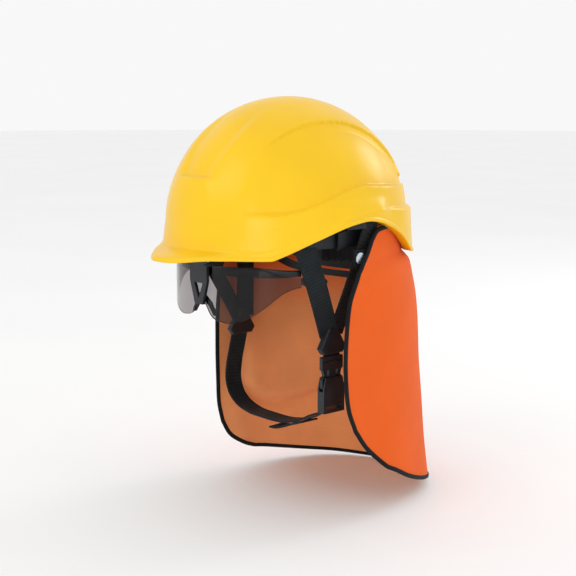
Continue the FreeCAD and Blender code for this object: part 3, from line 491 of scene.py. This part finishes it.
def shell_mesh():
    """The helmet shell as one closed skin: lip, brim, belt, dome with panels, and the inside."""
    around, rows_up, rows_in = 360, 132, 44
    turns = np.linspace(0, 2 * math.pi, around, endpoint=False)
    dx, dy = np.sin(turns), -np.cos(turns)
    lip = lip_reach(dx, dy)
    lip = lip + NAPE_LIP * step(30, 80, lip * dy)
    rim = rim_height(lip * dy)
    crease = crease_line(dome_reach(dx, dy, SPRING) * dy)
    crease = np.maximum(crease, rim + 6.5)

    def placed(reach, z):
        return np.stack([reach * dx, reach * dy, z + 0 * reach], axis=1)

    rounded_lip = ((1.6, 0), (0.5, 0.25), (0.0, 1.1), (0.0, 2.4), (0.5, 3.3))
    rows = [placed(lip - inset, rim + lift) for inset, lift in rounded_lip]
    back = step(30, 75, lip * dy)
    ledge = 0.7 + 4.3 * back
    at_crease = dome_reach(dx, dy, crease)
    at_crease = at_crease + skin_offset(at_crease * dx, at_crease * dy, crease)
    low, high = rim + 4.3, crease - 1.2 - 1.6 * back
    for share in np.linspace(0, 1, 12):
        reach = (lip - 1.4) + (at_crease + ledge - (lip - 1.4)) * share ** (1.0 - 0.15 * back)
        rows.append(placed(reach, low + (high - low) * share))
    rows.append(placed(at_crease + ledge * 0.55, crease - 0.5 - 0.5 * back))
    final = SPRING + RISE * math.pi / 2
    for share in np.linspace(0, NEAR_POLE, rows_up):
        height = crease + (final - crease) * share
        over = np.clip(height - SPRING, 0, None) / RISE
        z = np.where(height < SPRING, height, SPRING + RISE * np.sin(over))
        flat = dome_reach(dx, dy, np.minimum(z, SPRING)) * np.cos(over)
        base = placed(flat, z)
        normal = base / np.array([HALF_X**2, HALF_Y**2, RISE**2])
        normal[:, 2] = np.where(z > SPRING, (z - SPRING) / RISE**2, 0.0)
        rows.append(base + unit(normal) * skin_offset(*base.T)[:, None])
    outside = len(rows)
    for share in np.linspace(0, NEAR_POLE, rows_in)[::-1]:
        inner_rim = rim_height(dome_reach(dx, dy, 0.0, -WALL) * dy)
        height = inner_rim + (final - WALL - inner_rim) * share
        over = np.clip(height - SPRING, 0, None) / RISE
        over = np.minimum(over, math.pi / 2 * NEAR_POLE)
        z = np.where(height < SPRING, height, SPRING + (RISE - WALL) * np.sin(over))
        reach = dome_reach(dx, dy, np.minimum(z, SPRING), -WALL) * np.cos(over)
        rows.append(placed(reach - 2 * scoop_depth(reach * dx, reach * dy, z), z))
    points = np.concatenate(rows)
    faces = grid_faces(len(rows), around, round_columns=True)
    crown, under_crown = (outside - 1) * around, outside * around
    faces = [f for f in faces if not crown <= min(f) < under_crown <= max(f)]
    last = (len(rows) - 1) * around
    faces += [(c, (c + 1) % around, last + (c + 1) % around, last + c) for c in range(around)]
    faces.append(tuple(range(crown, under_crown)))
    faces.append(tuple(range(under_crown, under_crown + around)))
    return points, faces


def cut_boxes(thing, boxes):
    """Cuts plain slots, given as lowest and highest corners in mm, out of a closed mesh."""
    for low, high in boxes:
        middle = (np.array(low) + np.array(high)) / 2
        scale = (np.array(high) - np.array(low)) / 2
        corners = [middle + scale * (a, b, c) for a in (-1, 1) for b in (-1, 1) for c in (-1, 1)]
        sides = [(0, 1, 3, 2), (4, 6, 7, 5), (0, 4, 5, 1), (2, 3, 7, 6), (0, 2, 6, 4), (1, 5, 7, 3)]
        tool = piece("slot_tool", corners, sides, None, SHELL, smooth=False)
        cut = thing.modifiers.new("slot", "BOOLEAN")
        cut.operation, cut.object, cut.solver = "DIFFERENCE", tool, "EXACT"
        apply_modifiers(thing)
        bpy.data.objects.remove(tool)


def make_shell():
    """The moulded shell with a slot for accessories over each ear."""
    shell = piece("shell_moulding", *shell_mesh(), "shell", SHELL)
    walls = [(side * SLOT_X - SLOT_HALF, side * SLOT_X + SLOT_HALF) for side in (-1, 1)]
    cut_boxes(shell, [tuple(zip(wall, SLOT_Y, SLOT_Z)) for wall in walls])
    shell.data.polygons.foreach_set("use_smooth", [True] * len(shell.data.polygons))
    sharp = shell.modifiers.new("normals", "WEIGHTED_NORMAL")
    sharp.keep_sharp = True
    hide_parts("helmet_shell")


# ---------------------------------------------------------------- straps
WEBBING = 20  # width
WEBBING_EDGE = 1.25  # the thickness of the woven edge as a share of the strap's


def sweep(line, across, face, section):
    """A closed bar: points, faces and flat layout of a section carried along a line."""
    length = length_along(line)
    points, uvs = [], []
    for row in range(len(line)):
        for u, w in section:
            points.append(line[row] + across[row] * u + face[row] * w)
            uvs.append((u * MM, length[row] * MM))
    count = len(section)
    faces = grid_faces(len(line), count, round_columns=True)
    faces += [tuple(range(count)), tuple((len(line) - 1) * count + n for n in range(count))]
    return points, faces, uvs


def strap(name, path, across, thick, body, nodes_replaced):
    """A flat strap along a path in mm. across gives the direction of its width at each point."""
    path = np.asarray(path, float)
    along = unit(np.gradient(path, axis=0))
    across = np.broadcast_to(np.asarray(across, float), path.shape)
    across = unit(across - along * np.sum(across * along, axis=1)[:, None])
    half, deep = WEBBING / 2, thick / 2
    edge = WEBBING_EDGE * deep
    section = [(-half, 0.55 * deep), (-half + 0.35, edge), (-half + 1.5, edge)]
    section += [(-half + 2.1, deep)] + [(s * half, deep) for s in (-0.4, 0, 0.4)]
    section += [(-u, w) for u, w in section[3::-1]]
    section += [(u, -w) for u, w in section[::-1]]
    points, faces, uvs = sweep(path, across, np.cross(along, across), section)
    made = piece(name, points, faces, body, STRAP, uvs=uvs)
    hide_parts(*nodes_replaced)
    return made


# where each side's divider is, and where its front and rear straps start
DIVIDERS = {"left": (74, -9, -82), "right": (-72, -2, -87)}
STRAP_TOPS = {"left": ((87, -56, 16), (93, 25, 34)), "right": ((-87, -52, 16), (-93, 25, 34))}


def side_straps():
    """The front and rear strap on each side, from the shell's rim down to the divider."""
    for name, side in (("left", 1), ("right", -1)):
        foot = np.array(DIVIDERS[name], float)
        for word, top, shift in zip(("front", "rear"), STRAP_TOPS[name], (-3, 5)):
            start, end = np.array(top, float), foot + (0, shift, 6)
            third = start * 0.7 + end * 0.3 + (side * 1.2, 0, 0)
            middle = (start + end) / 2 + (side * 1.6, 0, 0)
            path = smooth_path([start, third, middle, end], 48)
            across = np.cross(end - start, [side, 0.0062 * top[1], 0])
            strap(f"{word}_webbing_{name}", path, across, 1.5, "shell", [f"{word}_strap_{name}"])


def chin_straps():
    """The buckle's short strap, the long strap under the chin and its loose end."""
    across = (0, 1, 0)
    top = [(74, -9, -92), (74, -9, -97), (74.2, -9, -103)]
    strap("buckle_webbing", smooth_path(top, 10), across, 1.6, "shell", ["buckle_strap"])
    line = [
        (-71.5, -4, -96),
        (-75, -5, -112),
        (-78, -7, -132),
        (-76.5, -9, -149),
        (-71, -9, -161),
        (-62, -9, -168),
        (-44, -9, -173.5),
        (-18, -9, -174.5),
        (12, -9, -173),
        (38, -9, -166),
        (56, -9, -157),
        (66, -9, -153),
        (71, -9, -151.5),
    ]
    both_nodes = ["chin_strap", "chin_strap_end"]
    long = strap("chin_webbing", smooth_path(line, 120), across, 1.6, None, both_nodes)
    tail = [(44, -9, -166.5), (30, -9, -171), (16, -10, -177), (4, -11, -180.5), (-4, -12, -181)]
    path = smooth_path(tail, 40)
    loose = strap("chin_webbing_tail", path, across, 1.5, None, ["chin_strap_tail"])
    for made in (long, loose):
        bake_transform(made)


# ---------------------------------------------------------------- cradle
def cradle():
    """Three textile straps over the crown, each a little below the last where they cross."""
    half_x, half_y, spring, rise, thick = 92.0, 112.0, 28.0, 80.0, 1.2
    step_down = 1.4
    # the direction of each strap's first end in degrees, and the heights of its two ends
    ends = {
        "front_left_to_rear_right": (35, 64, 34),
        "front_right_to_rear_left": (-35, 64, 34),
        "side_to_side": (90, 34, 34),
    }
    for layer, (name, (first, low_first, low_last)) in enumerate(ends.items()):
        shift = layer * step_down + thick / 2
        hx, hy, hz = half_x - shift, half_y - shift, rise - shift
        dx, dy = math.sin(math.radians(first)), -math.cos(math.radians(first))
        flat = 1 / math.hypot(dx / hx, dy / hy)
        start = math.asin((low_first - spring) / hz)
        end = math.pi - math.asin((low_last - spring) / hz)
        turns = np.linspace(start, end, 72)
        reach = flat * np.cos(turns)
        path = np.stack([reach * dx, reach * dy, spring + hz * np.sin(turns)], axis=1)
        across = (-dy, dx, 0)
        strap(f"cradle_webbing_{name}", path, across, thick, "shell", [f"cradle_strap_{name}"])


# ---------------------------------------------------------------- neck curtain
# Each level's height, half width, the y where the round rear begins, and the rear's y.
PLANS = np.array(
    [
        (-257, 104, 42, 165),
        (-130, 100, 28, 146),
        (-50, 99.5, 12, 137),
        (-14, 99, 0, 122.5),
        (16, 97.5, 0, 119.5),
    ]
)
half_at, straight_at, rear_at = (smooth_line(PLANS[:, 0], PLANS[:, n]) for n in (1, 2, 3))
# The front edge and the hem of each side, as y and z of the side view.
EDGES = {
    "left": (
        [(20, 12), (12, -1), (-1, -20), (-11, -46)]
        + [(-15, -80), (-15, -118), (-11, -147), (-3, -167)],
        [(-3, -167), (9, -183.5), (25, -199), (46, -213.5)]
        + [(71, -226.5), (98, -237), (135, -248.5), (165, -256)],
    ),
    "right": (
        [(22, 9.5), (14, 0), (-8, -30), (-13, -68)]
        + [(-14, -110), (-13, -153), (-11, -181), (-6, -200)],
        [(-6, -200), (3, -215), (22, -229), (52, -239)]
        + [(81, -245), (107, -249.5), (137, -253), (165, -256)],
    ),
}
FLAT_SIDE = 100  # mm of the flat side that count as 1 along the outline
QUARTER = 120  # mm that 1 along the outline counts as where lengths are compared
CLOTH = 1.1  # thickness
TAPE_START, TAPE_ROWS = 13, 460  # columns in from the corner where the tape begins, and its rows


def to_flat(y, z):
    """A point of the side view as a place along the curtain's outline at its height."""
    end, rear = straight_at(z), rear_at(z)
    turn = np.arccos(np.clip((y - end) / (rear - end), 0, 1))
    return np.where(y > end, turn / (math.pi / 2), 1 + (end - y) / FLAT_SIDE)


def on_curtain(q, z, side):
    """The point of the curtain's outer face at a place along its outline and a height."""
    end, rear, half = straight_at(z), rear_at(z), half_at(z)
    turn = np.minimum(q, 1) * math.pi / 2
    x = half * np.sin(turn)
    y = end + (rear - end) * np.cos(turn) - np.clip(q - 1, 0, None) * FLAT_SIDE
    return np.stack([side * x, y, z + 0 * q], axis=-1)


# how far the cloth flares out below the nape, against the height
flare_at = smooth_line(
    [-257, -200, -166, -133, -99, -66, -50, -33, -22, -15, -11, -7],
    [0, 0, 1.3, 2.1, 2.5, 3.4, 4.4, 6.2, 7.4, 6.6, 3.4, 0],
)


def curtain_wave(q, z, side):
    """How far the cloth stands off its plain form, in mm outward.

    Soft folds all over, one hollow with a U-shaped crease under it on the right, and a flare
    below the shell's nape.
    """
    place = q * side
    low = step(-20, -200, z)
    folds = 1.0 * np.sin(7.2 * place + 0.6) + 0.7 * np.sin(13.0 * place + 1.9)
    foot = -188 + 22 * ((q - 0.75) / 0.3) ** 2
    pillow = 8.5 * step(foot - 2, foot + 8, z) * step(-60, -130, z)
    pillow = pillow * step(1.2, 0.95, q) * step(-0.3, -0.6, place)
    crease = 3.0 * np.exp(-(((z - foot + 5) / 5) ** 2))
    crease = crease * step(1.1, 0.95, q) * step(-0.4, -0.6, place)
    loose = (folds * low - pillow + crease) * step(10, -40, z) * step(1.45, 1.1, q)
    return loose + flare_at(z) * step(1.1, 0.7, q)


def flat_line(line, count):
    """A smooth line of the side view, as places along the curtain's outline and heights."""
    y, z = np.array(line, float).T
    path = smooth_path(np.stack([to_flat(y, z) * QUARTER, z], axis=1), count)
    return path / (QUARTER, 1)


def curtain_side(side_name, columns, rows):
    """One half of the curtain as a grid, from the rear's middle to the front edge, top first."""
    side = 1 if side_name == "left" else -1
    front, hem = EDGES[side_name]
    front_edge, hem_edge = flat_line(front, rows), flat_line(hem[::-1], columns)
    a, b = np.linspace(0, 1, columns)[None, :, None], np.linspace(0, 1, rows)[:, None, None]
    top_q = front_edge[0, 0] * np.linspace(0, 1, columns)
    end_q = top_q[-1]
    rear_top = 11
    places = [0, 0.45, 0.64, end_q - 0.1, end_q - 0.04, end_q]
    lift = smooth_line(places, [rear_top, 14, 20, 23, 20, front_edge[0, 1]])
    top_edge = np.stack([top_q, lift(top_q)], axis=1)
    rear_z = np.linspace(rear_top, hem_edge[0, 1], rows)
    rear_edge = np.stack([0 * rear_z, rear_z], axis=1)
    flat_grid = (
        (1 - b) * top_edge[None]
        + b * hem_edge[None]
        + (1 - a) * rear_edge[:, None]
        + a * front_edge[:, None]
        - (1 - a) * (1 - b) * top_edge[0]
        - a * (1 - b) * top_edge[-1]
        - (1 - a) * b * hem_edge[0]
        - a * b * hem_edge[-1]
    )
    q, z = flat_grid[..., 0], flat_grid[..., 1]
    plain = on_curtain(q, z, side)
    out = plain - np.stack([0 * q, straight_at(z), z], axis=-1)
    out[..., 1] = np.clip(out[..., 1], 0, None)
    out[..., 2] = 0
    out = unit(out)
    return plain + out * curtain_wave(q, z, side)[..., None], out


def round_the_edge(grid, corner):
    """The grid's outer points, from near the top of one front edge by the hem to the other."""
    start, end = grid[0, corner:0:-1], grid[0, -2 : -corner - 2 : -1]
    return np.concatenate([start, grid[:, 0], grid[-1, 1:], grid[::-1, -1][1:], end])


def curtain():
    """The neck curtain as one sheet from front edge to front edge, and the tape round it."""
    columns, rows = 56, 84
    left, left_out = curtain_side("left", columns, rows)
    right, right_out = curtain_side("right", columns, rows)
    grid = np.concatenate([left[:, ::-1], right[:, 1:]], axis=1)
    outward = np.concatenate([left_out[:, ::-1], right_out[:, 1:]], axis=1)
    total = grid.shape[1]
    lengths = np.linalg.norm(np.diff(grid, axis=1), axis=2)
    across = np.concatenate([np.zeros((rows, 1)), np.cumsum(lengths, axis=1)], axis=1)
    uvs = [(across[r, c] * MM, grid[r, c, 2] * MM) for r in range(rows) for c in range(total)]
    faces = grid_faces(rows, total)
    cloth = piece("curtain_sheet", grid.reshape(-1, 3), faces, "shell", OUTSIDE, uvs=uvs)
    row, column = rows // 2, total // 2
    facing = cloth.data.polygons[row * (total - 1) + column].normal
    if facing.dot(Vector(outward[row, column])) < 0:
        cloth.data.flip_normals()
    cloth.data.materials.append(INSIDE)
    thick = cloth.modifiers.new("thickness", "SOLIDIFY")
    thick.thickness, thick.offset, thick.material_offset = CLOTH * MM, -1, 1
    thick.use_quality_normals = True
    apply_modifiers(cloth)
    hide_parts("neck_curtain")
    edge, face = (round_the_edge(of, TAPE_START) for of in (grid, outward))
    tape = binding(smooth_path(edge, TAPE_ROWS), edge, face)


def binding(line, edge, face):
    """The folded tape over the curtain's free edge."""
    nearest = [int(np.argmin(np.linalg.norm(edge - spot, axis=1))) for spot in line]
    out = np.array([face[n] for n in nearest])
    for _ in range(6):
        out[1:-1] = (out[:-2] + out[1:-1] * 2 + out[2:]) / 4
    along = unit(np.gradient(line, axis=0))
    inward = unit(np.cross(along, unit(out)))
    middle = np.array([0, 60, -100])
    if np.mean(np.sum(inward * (middle - line), axis=1)) < 0:
        inward = -inward
    out = np.cross(inward, along)
    from_middle = (line - middle) * (1, 1, 0)
    out = out * np.sign(np.sum(out * from_middle, axis=1))[:, None]
    half = [(3.4, 1.0), (3.2, 1.3), (2.8, 1.4), (1.6, 1.4), (0.3, 1.2), (-0.5, 0.7), (-0.8, 0.0)]
    section = [(u, w - CLOTH / 2) for u, w in half + [(u, -w) for u, w in half[-2::-1]]]
    points, faces, uvs = sweep(line, inward, out, section)
    tape = piece("curtain_tape", points, faces, "shell", TAPE, uvs=uvs)
    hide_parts("curtain_binding")
    return tape


# ---------------------------------------------------------------- visor
# the heights of the lens's upper and lower edge against the distance from the mid-plane
lens_top = smooth_line([0, 20, 50, 66, 76, 80], [-10, -8.5, -8, -10, -14, -17])
lens_low = smooth_line(
    [0, 6, 13, 27, 44, 60, 71, 77, 80],
    [-43, -46, -55, -60, -59, -51, -40, -31, -27],
)


def lens():
    """The smoked lens: two lobes joined at the bridge, narrowing to the temples."""
    columns, rows, wall = 121, 18, 1.8
    half_width, depth_forward, centre, bluntness = 80, 54, -51, 0.87
    turn = np.linspace(-math.pi / 2, math.pi / 2, columns)
    x = half_width * np.sign(turn) * np.abs(np.sin(turn)) ** bluntness
    y = centre - depth_forward * np.cos(turn) ** bluntness
    along = unit(np.gradient(np.stack([x, y], axis=1), axis=0))
    out = np.stack([along[:, 1], -along[:, 0]], axis=1)
    low, high = lens_low(np.abs(x)), lens_top(np.abs(x))
    shares = np.linspace(0, 1, rows)
    skins = []
    for depth, inset in ((0.0, 0.0), (wall, 0.35)):
        grid = np.zeros((rows, columns, 3))
        grid[..., 0], grid[..., 1] = x - out[:, 0] * depth, y - out[:, 1] * depth
        grid[..., 2] = (low + inset) + (high - low - 2 * inset) * shares[:, None]
        skins.append(grid.reshape(-1, 3))
    faces = grid_faces(rows, columns) + grid_faces(rows, columns, start=rows * columns)
    numbers = np.arange(rows * columns).reshape(rows, columns)
    sides = (numbers[0], numbers[1:, -1], numbers[-1, -2::-1], numbers[-2:0:-1, 0])
    ring = np.concatenate(sides).tolist()
    inner = rows * columns
    faces += [(a, b, b + inner, a + inner) for a, b in zip(ring, ring[1:] + ring[:1])]
    made = piece("visor_glazing", np.concatenate(skins), faces, "visor", LENS)
    add_bevel(made, 0.3, 2, 50)
    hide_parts("visor_lens")


def temples():
    """The dark arms at either end of the lens."""
    count = 40
    spots = [(79.2, -51, -21.5), (79.2, -44, -22), (78.4, -32, -23), (78.2, -19, -25)]
    line = smooth_path(spots, count)
    shares, halves = [0, 0.12, 0.5, 0.9, 0.97, 1], [2.6, 4.2, 3.6, 3.2, 2.4, 1.2]
    half = np.interp(np.linspace(0, 1, count), shares, halves)
    section = [(-0.9, -0.7), (-0.9, 0.7), (-0.5, 1), (0.5, 1)]
    section += [(-u, -w) for u, w in section]
    corners = len(section)
    faces = grid_faces(count, corners, round_columns=True)
    faces += [tuple(range(corners)), tuple(range((count - 1) * corners, count * corners))]
    for name, side in (("left", 1), ("right", -1)):
        points = []
        for spot, tall in zip(line, half):
            for u, w in section:
                points.append((side * (spot[0] + u), spot[1], spot[2] + w * tall))
        made = piece(f"visor_temple_{name}", points, faces, "visor", SATIN)


# ---------------------------------------------------------------- pads
def read_vertices(mesh, what):
    """Each vertex's place ("co") or direction ("normal") as rows."""
    values = np.empty(len(mesh.vertices) * 3)
    mesh.vertices.foreach_get(what, values)
    return values.reshape(-1, 3)


def place_vertices(mesh, spots):
    mesh.vertices.foreach_set("co", spots.ravel())
    mesh.update()


PAD_VOXEL, PAD_PRESSURE, PAD_FRAMES = 2.0, 4, 20
PAD_RADIUS, CHANNEL_HALF = 80, 1.3  # mm, for the sewn channels


def pad_from(node, name, cap, shrink):
    """A soft pad blown up by Blender's cloth from a slightly smaller copy of its CAD solid.

    No vertex moves more than the cap, in mm, so the pad stays in its place.
    """
    source = nodes[node]
    made = bpy.data.objects.new(name, source.data.copy())
    bpy.context.scene.collection.objects.link(made)
    made.data.materials.clear()
    made.data.materials.append(PADDING)
    remesh = made.modifiers.new("even", "REMESH")
    remesh.mode, remesh.voxel_size = "VOXEL", PAD_VOXEL * MM
    apply_modifiers(made)
    before = read_vertices(made.data, "co") - read_vertices(made.data, "normal") * shrink * MM
    place_vertices(made.data, before)
    blown = made.modifiers.new("blown", "CLOTH")
    blown.settings.use_pressure = True
    blown.settings.uniform_pressure_force = PAD_PRESSURE
    blown.settings.effector_weights.gravity = 0
    scene = bpy.context.scene
    for number in range(1, PAD_FRAMES + 1):
        scene.frame_set(number)
    apply_modifiers(made)
    scene.frame_set(1)
    move = read_vertices(made.data, "co") - before
    far = np.linalg.norm(move, axis=1)[:, None]
    move *= np.minimum(1, cap * MM / np.maximum(far, 1e-9))
    place_vertices(made.data, before + move)
    smooth = made.modifiers.new("finer", "SUBSURF")
    smooth.levels = smooth.render_levels = 1
    apply_modifiers(made)
    made.data.polygons.foreach_set("use_smooth", [True] * len(made.data.polygons))
    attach(made, "nape" if node == "nape_pad" else "shell")
    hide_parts(node)
    return made


def sew_channels(thing, spacing, centre, depth):
    """Presses sewn channels into a pad, evenly spaced round a centre."""
    spots, normals = read_vertices(thing.data, "co"), read_vertices(thing.data, "normal")
    turn = np.arctan2(spots[:, 0] - centre[0] * MM, spots[:, 1] - centre[1] * MM)
    off = np.abs((turn / spacing + 0.5) % 1 - 0.5) * spacing * PAD_RADIUS
    spots -= normals * (depth * MM * np.exp(-((off / CHANNEL_HALF) ** 2)))[:, None]
    place_vertices(thing.data, spots)


def pads():
    """The brow, nape and crown pads, with sewn channels in the brow and nape pads."""
    brow = pad_from("sweatband", "sweatband_padding", 1.2, 0.7)
    sew_channels(brow, math.radians(16), (0, 4), 0.9)
    nape = pad_from("nape_pad", "nape_padding", 1.2, 0.7)
    sew_channels(nape, math.radians(18), (0, 40), 0.9)
    crown = pad_from("crown_pad", "crown_padding", 2.0, 0.8)


# ---------------------------------------------------------------- finishes on the CAD nodes
def dress(names, material, bevel=0.0):
    """A material for CAD nodes, and softened edges where bevel is a width in mm."""
    for name in names:
        thing = nodes[name]
        thing.data.materials.clear()
        thing.data.materials.append(material)
        if bevel:
            add_bevel(thing, bevel)


def dress_nodes():
    """Finishes for the pieces that keep their CAD shape."""
    clips = [name for name in nodes if name.startswith(("cradle_clip", "chin_anchor"))]
    dress(clips + ["headband", "nape_cradle", "curtain_hooks", "rail_mounts"], BLACK)
    dress(["ratchet_base", "ratchet_cover", "ratchet_pinion", "rack_upper", "rack_lower"], BLACK)
    dress(["visor_rail", "visor_shoe", "visor_bracket", "visor_frame"], SATIN, 0.4)
    dress(["strap_divider_left", "strap_divider_right"], BLACK, 0.6)
    dress(["buckle_plug", "buckle_prong_front", "buckle_prong_rear", "buckle_socket"], SATIN, 0.5)
    dress(["ratchet_knob", "nose_pad"], GRIP)
    dress(["curtain_tab_left", "curtain_tab_right"], TAPE)
    snaps = [name for name in nodes if name.startswith("snap_")]
    dress(snaps + ["tilt_pin"], METAL)


# ---------------------------------------------------------------- floor, lights and camera
def stage():
    """A plain pale floor just under the hem, and an even white surround."""
    low = cad_box[0][2]
    reach, corners = 9000, 64
    turns = [n * 2 * math.pi / corners for n in range(corners)]
    points = [(math.cos(turn) * reach, math.sin(turn) * reach, 0) for turn in turns]
    pale = Finish("floor_pale", (0.93, 0.93, 0.93), 0.85)
    pale.vary(pale.noise(3, 2), 0.99, 1.01)
    floor = piece("floor", points, [tuple(range(corners))], None, pale.material, smooth=False)
    floor.location.z = low - 0.001
    world = bpy.data.worlds.new("studio")
    world.use_nodes = True
    background = world.node_tree.nodes["Background"]
    background.inputs["Color"].default_value = (1, 1, 1, 1)
    background.inputs["Strength"].default_value = 0.94
    bpy.context.scene.world = world


def area_light(name, place, aim, size, power):
    """A round soft light in metres and watts."""
    data = bpy.data.lights.new(name, "AREA")
    data.shape = "DISK"
    data.size, data.energy = size, power
    lamp = bpy.data.objects.new(name, data)
    bpy.context.scene.collection.objects.link(lamp)
    lamp.location = place
    lamp.rotation_euler = (Vector(aim) - Vector(place)).to_track_quat("-Z", "Y").to_euler()


def lights():
    area_light("key", (0.1, -1.6, 1.3), (0, 0, 0.02), 1.1, 4.5)
    area_light("behind", (0.25, 1.7, 0.75), (0, 0.05, 0.07), 0.7, 5)
    area_light("low", (1.1, -1.2, -0.1), (0, 0, -0.12), 0.8, 4)


def camera():
    """The camera at the photo's angle and distance."""
    azimuth, elevation, away = math.radians(49.7), math.radians(9.8), 1.18865
    aim = Vector((0, 0.00044, -0.04335))
    data = bpy.data.cameras.new("camera")
    data.lens, data.sensor_width = 75.6, 36
    data.clip_start, data.clip_end = 0.05, 50
    made = bpy.data.objects.new("camera", data)
    bpy.context.scene.collection.objects.link(made)
    flat = away * math.cos(elevation)
    shift = flat * math.sin(azimuth), -flat * math.cos(azimuth), away * math.sin(elevation)
    made.location = aim + Vector(shift)
    made.rotation_euler = (aim - made.location).to_track_quat("-Z", "Y").to_euler()
    bpy.context.scene.camera = made


make_shell()
side_straps()
chin_straps()
cradle()
curtain()
lens()
temples()
pads()
dress_nodes()
stage()
lights()
camera()
bpy.context.scene.view_settings.view_transform = "Standard"
